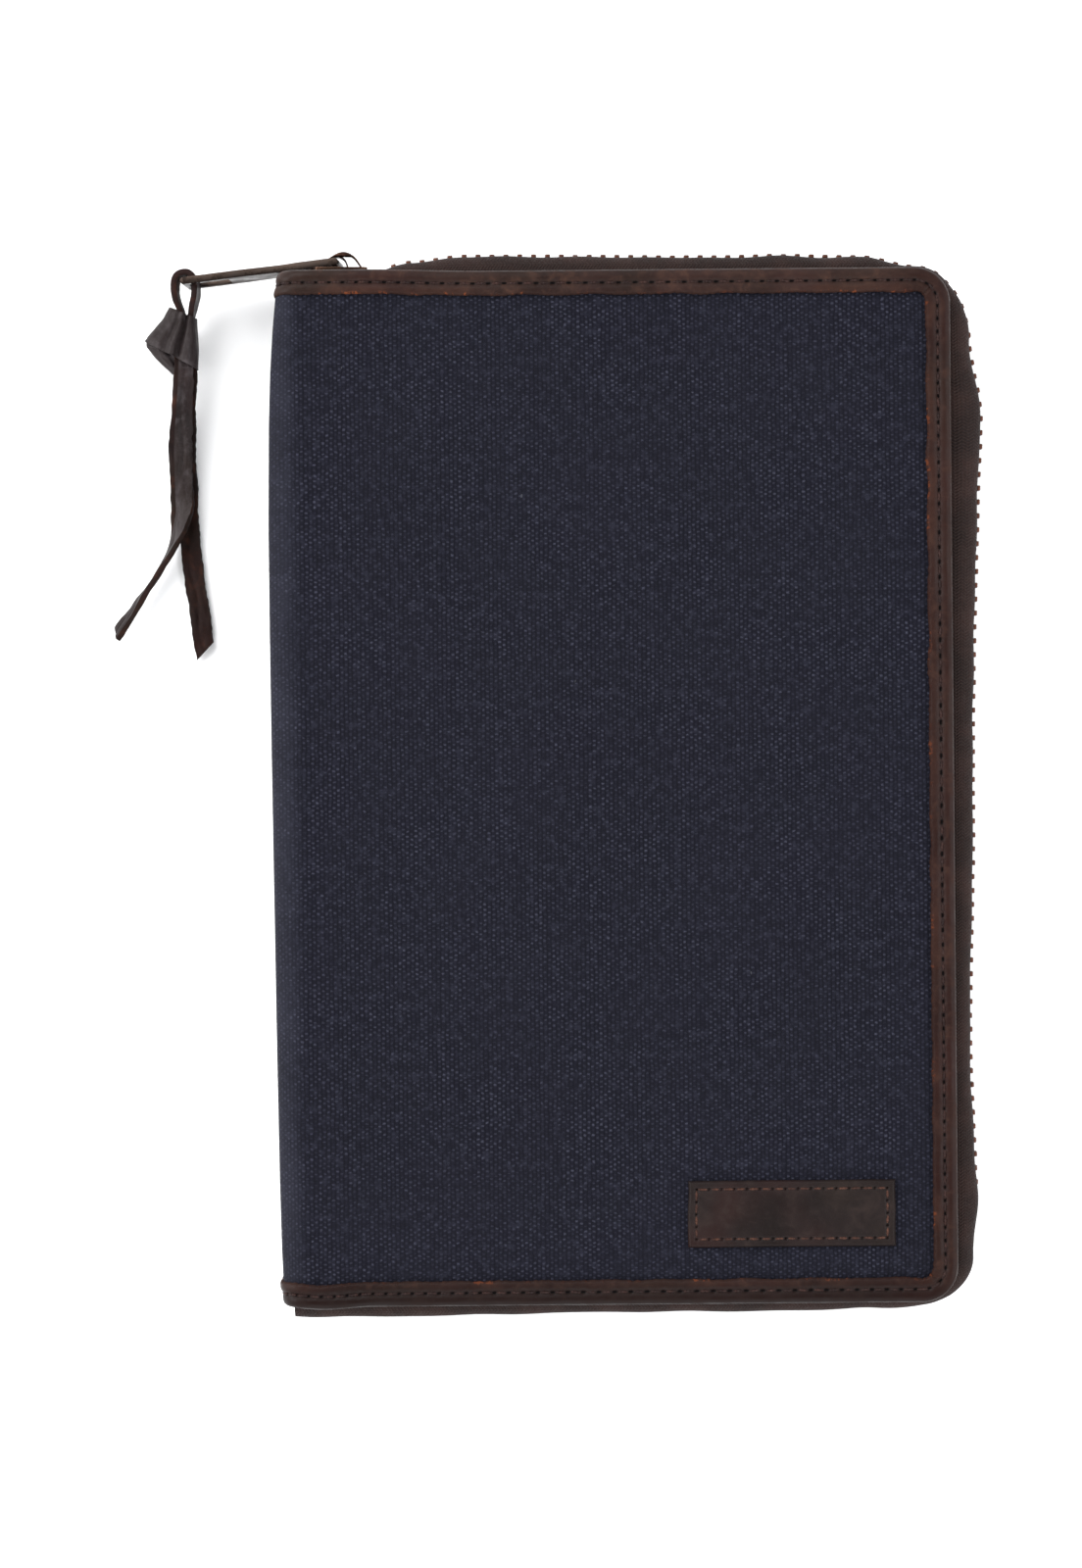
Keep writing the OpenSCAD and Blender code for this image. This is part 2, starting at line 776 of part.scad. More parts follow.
canvas_back();
stiffener_back();
lining_back();
binding_back();
stitching_back();
document_pocket();
passport_gusset();
passport_panel();
passport_trim();
zip_tape_back();
zip_teeth_back();
top_stop_back();
canvas_spine();
stiffener_spine();
lining_spine();
binding_spine_top();
binding_spine_bottom();
zip_bottom_stop();
canvas_front();
stiffener_front();
lining_front();
binding_front();
stitching_front();
label_patch();
label_stitching();
slip_pocket();
card_pocket(1);  // card_pocket_1
card_pocket(2);  // card_pocket_2
card_pocket(3);  // card_pocket_3
card_pocket(4);  // card_pocket_4
zip_tape_front();
zip_teeth_front();
top_stop_front();
slider_body();
slider_crown();
zip_puller();
thong_knot();
thong_tail_front();
thong_tail_back();
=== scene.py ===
import math

import bpy
import bmesh
import numpy as np
from mathutils import Matrix, Vector


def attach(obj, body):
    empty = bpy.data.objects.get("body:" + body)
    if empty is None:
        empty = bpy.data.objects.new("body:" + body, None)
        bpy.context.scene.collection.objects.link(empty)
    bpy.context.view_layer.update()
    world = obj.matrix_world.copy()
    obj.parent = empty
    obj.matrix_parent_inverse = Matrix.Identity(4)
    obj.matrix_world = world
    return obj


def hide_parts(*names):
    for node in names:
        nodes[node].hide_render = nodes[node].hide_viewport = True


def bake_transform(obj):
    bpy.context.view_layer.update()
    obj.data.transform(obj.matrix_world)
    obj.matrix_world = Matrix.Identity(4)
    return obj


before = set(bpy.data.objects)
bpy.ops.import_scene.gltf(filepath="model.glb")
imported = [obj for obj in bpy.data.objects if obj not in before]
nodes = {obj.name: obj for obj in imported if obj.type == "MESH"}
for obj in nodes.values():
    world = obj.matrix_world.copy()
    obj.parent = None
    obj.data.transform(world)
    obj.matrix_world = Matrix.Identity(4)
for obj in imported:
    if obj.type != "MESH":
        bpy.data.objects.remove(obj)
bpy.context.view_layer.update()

MM = 0.001

# ---------------------------------------------------------------- sizes, in millimetres, from the CAD
HALF_W, HALF_H, CORNER_R, CLOSED_T = 66.0, 99.0, 7.0, 24.0
MID_Z = CLOSED_T / 2
STACK_T = 4.9
HINGE_X = STACK_T - HALF_W
CORNER_X, CORNER_Y = HALF_W - CORNER_R, HALF_H - CORNER_R
SIDE_LEN = 2 * CORNER_Y
SPINE_HALF = MID_Z - STACK_T
FOLD_ARC = STACK_T * math.pi / 2
FOLD_END = SPINE_HALF + FOLD_ARC

# ---------------------------------------------------------------- camera, first of all
CAMERA_TURN = math.radians(0.5)
CAMERA_HEIGHT = 924.0
CAMERA_X, CAMERA_Y = -14.6, 0.35
VIEW_HEIGHT = 301.9
camera_data = bpy.data.cameras.new("camera")
camera_data.sensor_width = 36.0
camera_data.lens = 18.0 * (CAMERA_HEIGHT - CLOSED_T) / (VIEW_HEIGHT / 2)
camera_data.clip_start, camera_data.clip_end = 0.01, 20
camera = bpy.data.objects.new("camera", camera_data)
camera.location = (CAMERA_X * MM, CAMERA_Y * MM, CAMERA_HEIGHT * MM)
camera.rotation_euler = (0, 0, -CAMERA_TURN)
bpy.context.scene.collection.objects.link(camera)
bpy.context.scene.camera = camera


# ---------------------------------------------------------------- mesh helpers
def linked(name, data):
    ob = bpy.data.objects.new(name, data)
    bpy.context.scene.collection.objects.link(ob)
    return ob


def reworked(mesh, work):
    """Runs the bmesh operations of work on a mesh."""
    bm = bmesh.new()
    bm.from_mesh(mesh)
    work(bm)
    bm.to_mesh(mesh)
    bm.free()


def outwards(bm):
    bmesh.ops.recalc_face_normals(bm, faces=bm.faces)


def placed(ob, body, node):
    """Says what a finished piece rides on, and hides the CAD node that it stands for."""
    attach(ob, body)
    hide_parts(node)
    return ob


def lengths(points):
    """Length along a line of points, from 0 at its first."""
    return np.append(0, np.cumsum(np.linalg.norm(np.diff(points, axis=0), axis=1)))


def waves(x, scale, seed, count=7):
    """Smooth pseudo-random numbers about -1 to 1 along x, varying over about `scale`."""
    rng = np.random.default_rng(seed)
    x = np.asarray(x, float)
    out = np.zeros_like(x)
    for _ in range(count):
        out += np.sin(x * 2 * math.pi / (scale * rng.uniform(0.6, 1.9)) + rng.uniform(0, 6.28))
    return out / math.sqrt(count)


def waves2(x, y, scale, seed, count=9):
    """Smooth pseudo-random numbers over a plane."""
    rng = np.random.default_rng(seed)
    out = np.zeros(np.broadcast(x, y).shape)
    for _ in range(count):
        a = rng.uniform(0, 2 * math.pi)
        k = 2 * math.pi / (scale * rng.uniform(0.6, 1.9))
        out += np.sin((x * math.cos(a) + y * math.sin(a)) * k + rng.uniform(0, 6.28))
    return out / math.sqrt(count)


def smooth01(t):
    t = np.clip(t, 0, 1)
    return t * t * (3 - 2 * t)


def bump(x, width):
    """1 at x = 0 and 0 beyond width, with a smooth fall."""
    return smooth01(1 - np.abs(x) / width)


def new_object(name, co, faces, uv=None, materials=(), face_material=None, recalc=True, angle=35):
    """Mesh object from points in mm. uv is one pair, in mm, for every corner of every face."""
    mesh = bpy.data.meshes.new(name)
    mesh.from_pydata((np.asarray(co, float) * MM).tolist(), [], faces)
    if uv is not None:
        layer = mesh.uv_layers.new(name="cut")
        layer.data.foreach_set("uv", (np.asarray(uv, float) * MM).ravel())
    for m in materials:
        mesh.materials.append(m)
    if face_material is not None:
        mesh.polygons.foreach_set("material_index", np.asarray(face_material, np.int32))
    mesh.update()
    if recalc:
        reworked(mesh, outwards)
    mesh.shade_smooth()
    if angle:
        mesh.set_sharp_from_angle(angle=math.radians(angle))
    return linked(name, mesh)


def grid_faces(m, n, wrap=False, base=0):
    """Quads of a grid of m rows and n columns, with the row and column of each."""
    cols = n if wrap else n - 1
    i, j = np.meshgrid(np.arange(m - 1), np.arange(cols), indexing="ij")
    k = (j + 1) % n
    quads = np.stack([i * n + j, i * n + k, (i + 1) * n + k, (i + 1) * n + j], -1)
    return (quads.reshape(-1, 4) + base).tolist(), i.ravel(), j.ravel()


def capped_faces(rows, cols, base):
    """Faces of a tube of rows rings of cols points each, closed at both ends."""
    faces, _, _ = grid_faces(rows, cols, True, base)
    last = base + (rows - 1) * cols
    return faces + [list(range(base, base + cols))[::-1], list(range(last, last + cols))]


def swept(name, pts, u, v, materials, column_material=None, **more):
    """Closed tube through rings of points (rings, points, 3). u is the length along, v the length round."""
    m, n = pts.shape[:2]
    faces, i, j = grid_faces(m, n, True)
    v = np.append(v, 2 * v[-1] - v[-2])
    uv = np.stack([np.stack([u[i], v[j]], -1), np.stack([u[i], v[j + 1]], -1),
                   np.stack([u[i + 1], v[j + 1]], -1), np.stack([u[i + 1], v[j]], -1)], 1)
    uv = uv.reshape(-1, 2).tolist()
    index = [0] * len(faces) if column_material is None else [column_material[c] for c in j]
    for row, order in ((0, range(n - 1, -1, -1)), (m - 1, range(n))):
        faces.append([row * n + c for c in order])
        uv += [[u[row], v[c]] for c in order]
        index.append(index[0] if column_material is None else max(column_material))
    return new_object(name, pts.reshape(-1, 3), faces, uv, materials, index, **more)


def slab(name, top, bottom, uv, materials, **more):
    """Closed piece between two grids of points with the same shape."""
    m, n = top.shape[:2]
    faces, i, j = grid_faces(m, n)
    low = [[f + m * n for f in face[::-1]] for face in faces]
    rim = ([(r, 0) for r in range(m)] + [(m - 1, c) for c in range(1, n)]
           + [(r, n - 1) for r in range(m - 2, -1, -1)] + [(0, c) for c in range(n - 2, 0, -1)])
    ids = [r * n + c for r, c in rim]
    sides = [[a, b, b + m * n, a + m * n] for a, b in zip(ids, ids[1:] + ids[:1])]
    flat = uv.reshape(-1, 2)
    all_faces = faces + low + sides
    corners = np.array([f % (m * n) for face in all_faces for f in face])
    co = np.concatenate([top.reshape(-1, 3), bottom.reshape(-1, 3)])
    return new_object(name, co, all_faces, flat[corners], materials, **more)


def curve_points(points, step):
    """Catmull-Rom curve through the points, evenly spaced by about step."""
    p = np.asarray(points, float)
    p = np.vstack([2 * p[0] - p[1], p, 2 * p[-1] - p[-2]])
    out = []
    for k in range(1, len(p) - 2):
        t = np.linspace(0, 1, 12, endpoint=False)[:, None]
        a, b, c, d = p[k - 1], p[k], p[k + 1], p[k + 2]
        out.append(0.5 * (2 * b + (c - a) * t + (2 * a - 5 * b + 4 * c - d) * t ** 2
                          + (3 * b - a - 3 * c + d) * t ** 3))
    out = np.vstack(out + [p[-2][None]])
    length = lengths(out)
    s = np.linspace(0, length[-1], max(2, int(round(length[-1] / step)) + 1))
    return np.stack([np.interp(s, length, out[:, k]) for k in range(3)], -1), s


def unit(v):
    return v / np.maximum(np.linalg.norm(v, axis=-1, keepdims=True), 1e-12)


def flip_front(pts):
    """A piece modelled on the back half, turned over onto the front half."""
    out = np.array(pts, float)
    out[..., 2] = CLOSED_T - out[..., 2]
    return out


def stitches(name, centres, along, up, length, width, height, material, sink=0.25):
    """One small thread for each stitch, its two ends diving into the leather."""
    rows, cols = 7, 8
    t = np.linspace(-1, 1, rows)
    body = np.sqrt(np.clip(1 - np.abs(t) ** 3.2, 0.02, 1))
    a = np.arange(cols) * 2 * math.pi / cols
    co, faces, base = [], [], 0
    rng = np.random.default_rng(len(centres))
    for c, d, n in zip(np.asarray(centres), unit(np.asarray(along)), unit(np.asarray(up))):
        turn = rng.normal(0, 0.05)
        side = np.cross(n, d)
        cos, sin = math.cos(turn), math.sin(turn)
        d, side = d * cos + side * sin, side * cos - d * sin
        size = length * rng.uniform(0.93, 1.05)
        line = c + t[:, None] * d * size / 2 - (np.abs(t) ** 2.6 * sink)[:, None] * n
        ring = (np.cos(a)[None, :, None] * side * width / 2 * body[:, None, None]
                + np.sin(a)[None, :, None] * n * height / 2 * body[:, None, None])
        co.append((line[:, None] + ring).reshape(-1, 3))
        faces += capped_faces(rows, cols, base)
        base += rows * cols
    co = np.concatenate(co)
    uv = [(co[k][0] + co[k][1], co[k][2]) for face in faces for k in face]
    return new_object(name, co, faces, uv, [material], angle=0)


# ---------------------------------------------------------------- material helpers
class Graph:
    """Short names for building a material's nodes."""

    def __init__(self, name, **constants):
        self.mat = bpy.data.materials.new(name)
        self.mat.use_nodes = True
        self.tree = self.mat.node_tree
        self.tree.nodes.clear()
        self.out = self.tree.nodes.new("ShaderNodeOutputMaterial")
        self.shader = self.tree.nodes.new("ShaderNodeBsdfPrincipled")
        self.tree.links.new(self.shader.outputs[0], self.out.inputs[0])
        for key, value in constants.items():
            self.shader.inputs[key.replace("_", " ")].default_value = value

    def put(self, socket, value):
        if isinstance(value, bpy.types.NodeSocket):
            self.tree.links.new(value, socket)
        elif value is not None:
            if hasattr(socket.default_value, "__len__") and not hasattr(value, "__len__"):
                value = [value] * len(socket.default_value)
            if hasattr(value, "__len__") and len(value) == 3 and len(socket.default_value) == 4:
                value = list(value) + [1.0]
            socket.default_value = value

    def node(self, kind, *inputs, **settings):
        n = self.tree.nodes.new("ShaderNode" + kind)
        for key, value in settings.items():
            setattr(n, key, value)
        for socket, value in zip(n.inputs, inputs):
            self.put(socket, value)
        return n

    def math(self, op, a, b=None):
        return self.node("Math", a, b, operation=op).outputs[0]

    def add(self, a, b):
        return self.math("ADD", a, b)

    def mul(self, a, b):
        return self.math("MULTIPLY", a, b)

    def ramp(self, x, low, high, to_low=0.0, to_high=1.0):
        """Goes smoothly from to_low to to_high as x goes from low to high."""
        n = self.node("MapRange", x, low, high, to_low, to_high, interpolation_type="SMOOTHSTEP")
        return n.outputs[0]

    def mix(self, t, a, b):
        n = self.node("Mix", data_type="RGBA")
        self.put(n.inputs[0], t)
        self.put(n.inputs[6], a)
        self.put(n.inputs[7], b)
        return n.outputs[2]

    def tint(self, color, tone, x, *ends):
        """Colour that turns from color to tone along a ramp of x."""
        return self.mix(self.ramp(x, *ends), color, tone)

    def object_mm(self):
        """Object coordinates in millimetres."""
        n = self.node("VectorMath", self.node("TexCoord").outputs["Object"], operation="SCALE")
        n.inputs["Scale"].default_value = 1000
        return n.outputs[0]

    def cut_mm(self):
        """Coordinates along and across the cut piece, in millimetres."""
        n = self.node("VectorMath", self.node("UVMap", uv_map="cut").outputs[0], operation="SCALE")
        n.inputs["Scale"].default_value = 1000
        return n.outputs[0]

    def split(self, v):
        return self.node("SeparateXYZ", v).outputs[:3]

    def join(self, x, y, z=0.0):
        return self.node("CombineXYZ", x, y, z).outputs[0]

    def noise(self, v, size, detail=2.0, rough=0.5, distortion=0.0):
        n = self.node("TexNoise")
        self.put(n.inputs["Vector"], v)
        n.inputs["Scale"].default_value = 1.0 / size
        n.inputs["Detail"].default_value = detail
        n.inputs["Roughness"].default_value = rough
        n.inputs["Distortion"].default_value = distortion
        return n.outputs[0]

    def cells(self, v, size):
        n = self.node("TexVoronoi", feature="F1")
        self.put(n.inputs["Vector"], v)
        n.inputs["Scale"].default_value = 1.0 / size
        return n.outputs["Distance"]

    def stretch(self, v, x, y, z=1.0):
        n = self.node("VectorMath", v, operation="MULTIPLY")
        n.inputs[1].default_value = (x, y, z)
        return n.outputs[0]

    def finish(self, color, rough, height=None, depth_mm=0.1, strength=1.0, metal=None):
        self.put(self.shader.inputs["Base Color"], color)
        self.put(self.shader.inputs["Roughness"], rough)
        if metal is not None:
            self.put(self.shader.inputs["Metallic"], metal)
        if height is not None:
            b = self.node("Bump")
            b.inputs["Strength"].default_value = strength
            b.inputs["Distance"].default_value = depth_mm * MM
            self.put(b.inputs["Height"], height)
            self.put(self.shader.inputs["Normal"], b.outputs[0])
        return self.mat


LIGHT_LEVEL = 2.6


def srgb(r, g, b):
    """Linear colour of a surface that looks like this everyday 0 to 255 colour under the studio's light."""
    return tuple(((c / 255 + 0.055) / 1.055) ** 2.4 / LIGHT_LEVEL if c > 10 else c / 255 / 12.92 / LIGHT_LEVEL
                 for c in (r, g, b))


WARP_PITCH, WEFT_PITCH = 0.825, 1.01
# Across the cut, where the spine's paler tone (partly wear, partly painted sheen) starts and where it is at
# full strength.
SPINE_WEAR_AND_SHEEN_FROM, SPINE_WEAR_AND_SHEEN_FULL = 16.5, 11.5


def canvas_material():
    """Waxed canvas: painted highlights on the crowns of upright yarns, paler where worn, over painted shade
    in the gaps between them; uneven yarns, cloudy wear, lint, and a paler spine that is partly wear and
    partly painted sheen.
    """
    g = Graph("waxed_canvas", Specular_IOR_Level=0.06)
    cut = g.cut_mm()
    drift = g.node("TexNoise", cut)
    drift.inputs["Scale"].default_value = 0.45
    centred = g.node("VectorMath", drift.outputs[1], operation="SUBTRACT")
    centred.inputs[1].default_value = (0.5, 0.5, 0.5)
    bent = g.node("VectorMath", centred.outputs[0], operation="MULTIPLY_ADD")
    bent.inputs[1].default_value = (0.6, 1.0, 0)
    g.put(bent.inputs[2], cut)
    x, y, _ = g.split(bent.outputs[0])
    across = g.math("COSINE", g.mul(x, math.pi / WARP_PITCH))
    along = g.math("COSINE", g.mul(y, 2 * math.pi / WEFT_PITCH))
    round_yarn = g.ramp(g.math("ABSOLUTE", across), 0.0, 1.0)
    over = g.ramp(g.mul(g.math("SIGN", across), along), -0.45, 1.0)
    column = g.math("FLOOR", g.add(g.mul(x, 1 / WARP_PITCH), 0.5))
    yarn = g.noise(g.join(g.mul(column, 7.31), g.mul(y, 0.05)), 1.0, 2, 0.6)
    slub = g.noise(g.join(g.mul(column, 3.7), g.mul(y, 0.8)), 1.0, 1, 0.5)
    pick = g.noise(g.join(g.mul(x, 0.05), g.mul(y, 1.9)), 1.0, 1, 0.5)
    fibre = g.noise(g.stretch(cut, 6.0, 2.2), 1.0, 2, 0.6)
    crowns = g.math("POWER", g.mul(round_yarn, over), 1.5)
    shine = g.mul(crowns, g.ramp(slub, 0.3, 0.68, 0.1, 1.15))
    shine = g.mul(shine, g.ramp(yarn, 0.3, 0.7, 0.65, 1.15))
    cloud = g.noise(cut, 34.0, 3, 0.55)
    wear = g.noise(g.stretch(cut, 1.0, 0.75), 13.0, 4, 0.62)
    # Painted shade: the base colour is darker in the gaps between the upright yarns.
    base = g.mix(round_yarn, srgb(22, 22, 32), srgb(32, 32, 44))
    base = g.mix(g.ramp(cloud, 0.3, 0.72, 0, 0.4), base, srgb(33, 33, 45))
    # Painted highlight on the yarn crowns, partly real wear: a pale crown colour, paler still where the wear
    # noise is high, mixed in by shine.
    light = g.mix(g.ramp(wear, 0.3, 0.74), srgb(60, 61, 77), srgb(82, 83, 99))
    color = g.mix(g.mul(shine, 0.92), base, light)
    grain = g.noise(g.stretch(cut, 1.0, 0.8), 1.5, 2, 0.6)
    color = g.tint(color, srgb(58, 59, 74), grain, 0.5, 0.72, 0, 0.4)
    color = g.tint(color, srgb(22, 22, 31), grain, 0.5, 0.3, 0, 0.4)
    color = g.mix(g.mul(g.ramp(pick, 0.5, 0.75), 0.25), color, srgb(24, 24, 34))
    # Paler canvas on the spine: partly wear and partly a painted sheen where the cloth curves round the
    # spine.
    on_spine = g.ramp(g.math("ABSOLUTE", x), SPINE_WEAR_AND_SHEEN_FROM, SPINE_WEAR_AND_SHEEN_FULL)
    spine_wear_and_sheen = g.mul(on_spine, g.ramp(wear, 0.35, 0.65, 0.1, 0.24))
    color = g.mix(spine_wear_and_sheen, color, srgb(88, 89, 104))
    lint = g.ramp(g.noise(g.stretch(cut, 1.0, 0.55), 1.15, 1, 0.5), 0.8, 0.84)
    color = g.mix(g.mul(lint, 0.35), color, srgb(120, 122, 130))
    rough = g.ramp(wear, 0.3, 0.7, 0.7, 0.85)
    height = g.add(g.mul(crowns, g.ramp(slub, 0.2, 0.7, 0.7, 1.1)), g.mul(fibre, 0.22))
    return g.finish(color, rough, height, 0.2, 0.6)


OLIVE, RUST = srgb(54, 42, 33), srgb(68, 37, 32)


def leather_material(name, tone, holes=None, raw_edge=None, grain=0.5, seed=0.0, gloss=0.46, crinkle=0.0):
    """Waxed pull-up leather.

    holes is the pitch of the stitch holes and the v of their row, and raw_edge the v where the cut edge ends.
    """
    g = Graph(name, Specular_IOR_Level=0.09)
    obj = g.node("VectorMath", g.object_mm(), operation="ADD")
    obj.inputs[1].default_value = (seed, seed * 1.7, seed * 0.6)
    obj = obj.outputs[0]
    cut = g.cut_mm()
    u, v, _ = g.split(cut)
    big = g.noise(obj, 16.0, 4, 0.6)
    mid = g.noise(obj, 3.2, 4, 0.62, 0.4)
    fine = g.noise(obj, 0.55, 3, 0.6)
    pores = g.cells(obj, grain)
    dark, body, pale = tone
    color = g.mix(g.ramp(big, 0.32, 0.68), dark, body)
    cast = g.noise(obj, 21.0, 2, 0.5)
    color = g.tint(color, OLIVE, cast, 0.45, 0.7, 0, 0.4)
    color = g.tint(color, RUST, cast, 0.5, 0.3, 0, 0.35)
    color = g.tint(color, pale, mid, 0.48, 0.78, 0, 0.75)
    color = g.tint(color, pale, fine, 0.52, 0.8, 0, 0.3)
    color = g.tint(color, dark, pores, 0.0, 0.28, 0.35, 0.0)
    scratch = g.noise(g.stretch(obj, 0.25, 1.6, 1.0), 1.1, 2, 0.5, 0.8)
    color = g.tint(color, pale, scratch, 0.66, 0.74, 0, 0.3)
    rough = g.ramp(mid, 0.3, 0.75, gloss - 0.06, gloss + 0.16)
    height = g.add(g.mul(fine, 0.5), g.mul(g.ramp(pores, 0.0, 0.35), 0.3))
    height = g.add(height, g.mul(mid, 0.6))
    if crinkle:
        folds = g.noise(g.join(g.mul(u, 0.28), v), 0.9, 3, 0.6, 0.6)
        # Lighter along the fold ridges; painted shade darkens the fold creases.
        color = g.tint(color, pale, folds, 0.55, 0.75, 0, 0.25)
        color = g.tint(color, dark, folds, 0.45, 0.32, 0, 0.4)
        height = g.add(height, g.mul(folds, 2.0 * crinkle))
    if raw_edge is not None:
        ragged = g.add(v, g.mul(g.add(g.noise(g.join(u, v), 0.9, 3, 0.65), -0.5), 1.1))
        edge = g.ramp(ragged, raw_edge - 0.25, raw_edge + 0.3, 1.0, 0.0)
        flecks = g.ramp(g.noise(g.join(u, g.mul(v, 0.6), 3.0), 1.5, 3, 0.66), 0.54, 0.64)
        patches = g.ramp(g.noise(g.join(u, 0.0, 9.0), 14.0, 3, 0.6), 0.46, 0.58)
        color = g.mix(g.mul(edge, 0.6), color, srgb(56, 36, 31))
        bare = g.mul(g.mul(edge, flecks), g.ramp(patches, 0.0, 1.0, 0.1, 1.0))
        color = g.mix(bare, color, srgb(150, 78, 44))
        strip = g.ramp(v, raw_edge + 1.9, raw_edge + 0.5)
        color = g.mix(g.mul(strip, g.mul(patches, 0.25)), color, srgb(92, 58, 44))
        # Painted shade: the binding is darkened towards its bottom run (object y below -94 mm); the tint
        # after it makes the binding darker and redder towards its right-hand run (object x beyond 48 mm).
        place_x, place_y, _ = g.split(g.object_mm())
        color = g.tint(color, srgb(32, 17, 14), place_y, -94.0, -98.5, 0, 0.85)
        color = g.tint(color, srgb(48, 17, 9), place_x, 48.0, 60.0, 0, 0.36)
        rough = g.math("MAXIMUM", rough, g.mul(edge, 0.8))
        height = g.add(height, g.mul(g.mul(edge, flecks), 1.2))
    if holes is not None:
        pitch, row = holes
        cell = g.math("FRACT", g.mul(u, 1 / pitch))
        du = g.mul(g.math("ABSOLUTE", g.add(cell, -0.5)), pitch)
        dv = g.math("ABSOLUTE", g.add(v, -row))
        hole = g.mul(g.ramp(du, 0.3, 0.56, 1.0, 0.0), g.ramp(dv, 0.14, 0.34, 1.0, 0.0))
        # Painted shade: the stitch channel's groove is darkened and the stitch holes are painted near black.
        groove = g.ramp(dv, 0.15, 0.5, 0.3, 0.0)
        color = g.mix(groove, color, srgb(42, 27, 24))
        color = g.mix(hole, color, srgb(12, 7, 8))
        rough = g.math("MAXIMUM", rough, g.mul(hole, 0.9))
    return g.finish(color, rough, height, 0.14, 0.55)


def thread_material(name, dark, pale):
    g = Graph(name, Specular_IOR_Level=0.15)
    obj = g.object_mm()
    u, v, _ = g.split(g.cut_mm())
    ply = g.math("SINE", g.add(g.mul(u, 9.0), g.mul(v, 14.0)))
    color = g.mix(g.ramp(g.noise(obj, 2.0, 2, 0.6), 0.35, 0.7), dark, pale)
    color = g.tint(color, dark, ply, -0.2, 1.0, 0.0, 0.4)
    return g.finish(color, g.ramp(g.noise(obj, 0.4), 0.3, 0.7, 0.5, 0.75), ply, 0.06, 0.8)


def tape_material():
    """Woven zip tape: fine ribs across it, a herringbone in them and a thicker cord at the chain."""
    g = Graph("zip_tape", Specular_IOR_Level=0.12)
    u, v, _ = g.split(g.cut_mm())
    obj = g.object_mm()
    zig = g.math("PINGPONG", v, 0.9)
    rib = g.math("SINE", g.mul(g.add(u, g.mul(zig, 0.7)), 2 * math.pi / 0.62))
    line = g.math("SINE", g.mul(v, 2 * math.pi / 0.55))
    fuzz = g.noise(obj, 0.5, 2, 0.6)
    cloud = g.noise(obj, 9.0, 3, 0.6)
    color = g.mix(g.ramp(cloud, 0.35, 0.7), srgb(46, 33, 31), srgb(68, 48, 44))
    color = g.tint(color, srgb(84, 64, 56), rib, 0.0, 1.0, 0.0, 0.35)
    color = g.tint(color, srgb(30, 22, 22), line, 0.3, 1.0, 0.0, 0.3)
    height = g.add(g.add(g.mul(rib, 0.5), g.mul(line, 0.25)), g.mul(fuzz, 0.5))
    return g.finish(color, g.ramp(fuzz, 0.3, 0.7, 0.65, 0.85), height, 0.16, 0.7)


def metal_material(name, dark, body, bright, rough=0.34, size=1.2, worn=0.5):
    """Antiqued metal: dark lacquer rubbed through to brighter metal."""
    g = Graph(name)
    obj = g.object_mm()
    n1 = g.noise(obj, size, 4, 0.62)
    n2 = g.noise(obj, size * 4.5, 3, 0.55)
    n3 = g.noise(g.stretch(obj, 0.4, 3.0, 3.0), 0.5, 2, 0.5)
    edge = g.node("NewGeometry").outputs["Pointiness"]
    rub = g.ramp(g.add(edge, g.mul(g.add(n1, -0.5), 0.12)), 0.5, 0.56, 0.0, 1.0)
    color = g.mix(g.ramp(n2, 0.35, 0.68), dark, body)
    color = g.tint(color, bright, n1, 0.5, 0.72, 0.0, worn)
    color = g.mix(g.mul(rub, 0.7), color, bright)
    r = g.ramp(n1, 0.3, 0.72, rough + 0.16, rough - 0.06)
    height = g.add(g.mul(n1, 0.6), g.mul(n3, 0.12))
    return g.finish(color, r, height, 0.05, 0.4, metal=g.ramp(n1, 0.3, 0.6, 0.82, 1.0))


def cloth_material(name, dark, body, pitch=0.42, cloudy=0.4):
    """Plain fine lining cloth."""
    g = Graph(name, Specular_IOR_Level=0.15)
    cut = g.cut_mm()
    x, y, _ = g.split(cut)
    a = g.math("SINE", g.mul(x, 2 * math.pi / pitch))
    b = g.math("SINE", g.mul(y, 2 * math.pi / pitch))
    over = g.mul(a, b)
    slub = g.noise(g.stretch(cut, 2.2, 0.12), 1.0, 2, 0.6)
    weft = g.noise(g.stretch(cut, 0.12, 2.2), 1.0, 2, 0.6)
    cloud = g.noise(cut, 24.0, 3, 0.6)
    color = g.mix(g.ramp(cloud, 0.3, 0.7, 0.0, cloudy), body, dark)
    color = g.tint(color, dark, g.mul(g.add(slub, weft), 0.5), 0.42, 0.62, 0.0, 0.5)
    color = g.tint(color, dark, over, -0.2, -1.0, 0.0, 0.6)
    return g.finish(color, g.ramp(cloud, 0.3, 0.7, 0.72, 0.85), g.add(over, g.mul(slub, 1.2)), 0.09, 0.6)


def board_material():
    g = Graph("fibre_board", Specular_IOR_Level=0.2)
    obj = g.object_mm()
    fibre = g.noise(g.stretch(obj, 1.0, 0.3), 0.8, 4, 0.7)
    color = g.mix(g.ramp(fibre, 0.35, 0.7), srgb(120, 112, 98), srgb(168, 160, 142))
    return g.finish(color, g.ramp(fibre, 0.3, 0.7, 0.75, 0.92), fibre, 0.1, 0.5)


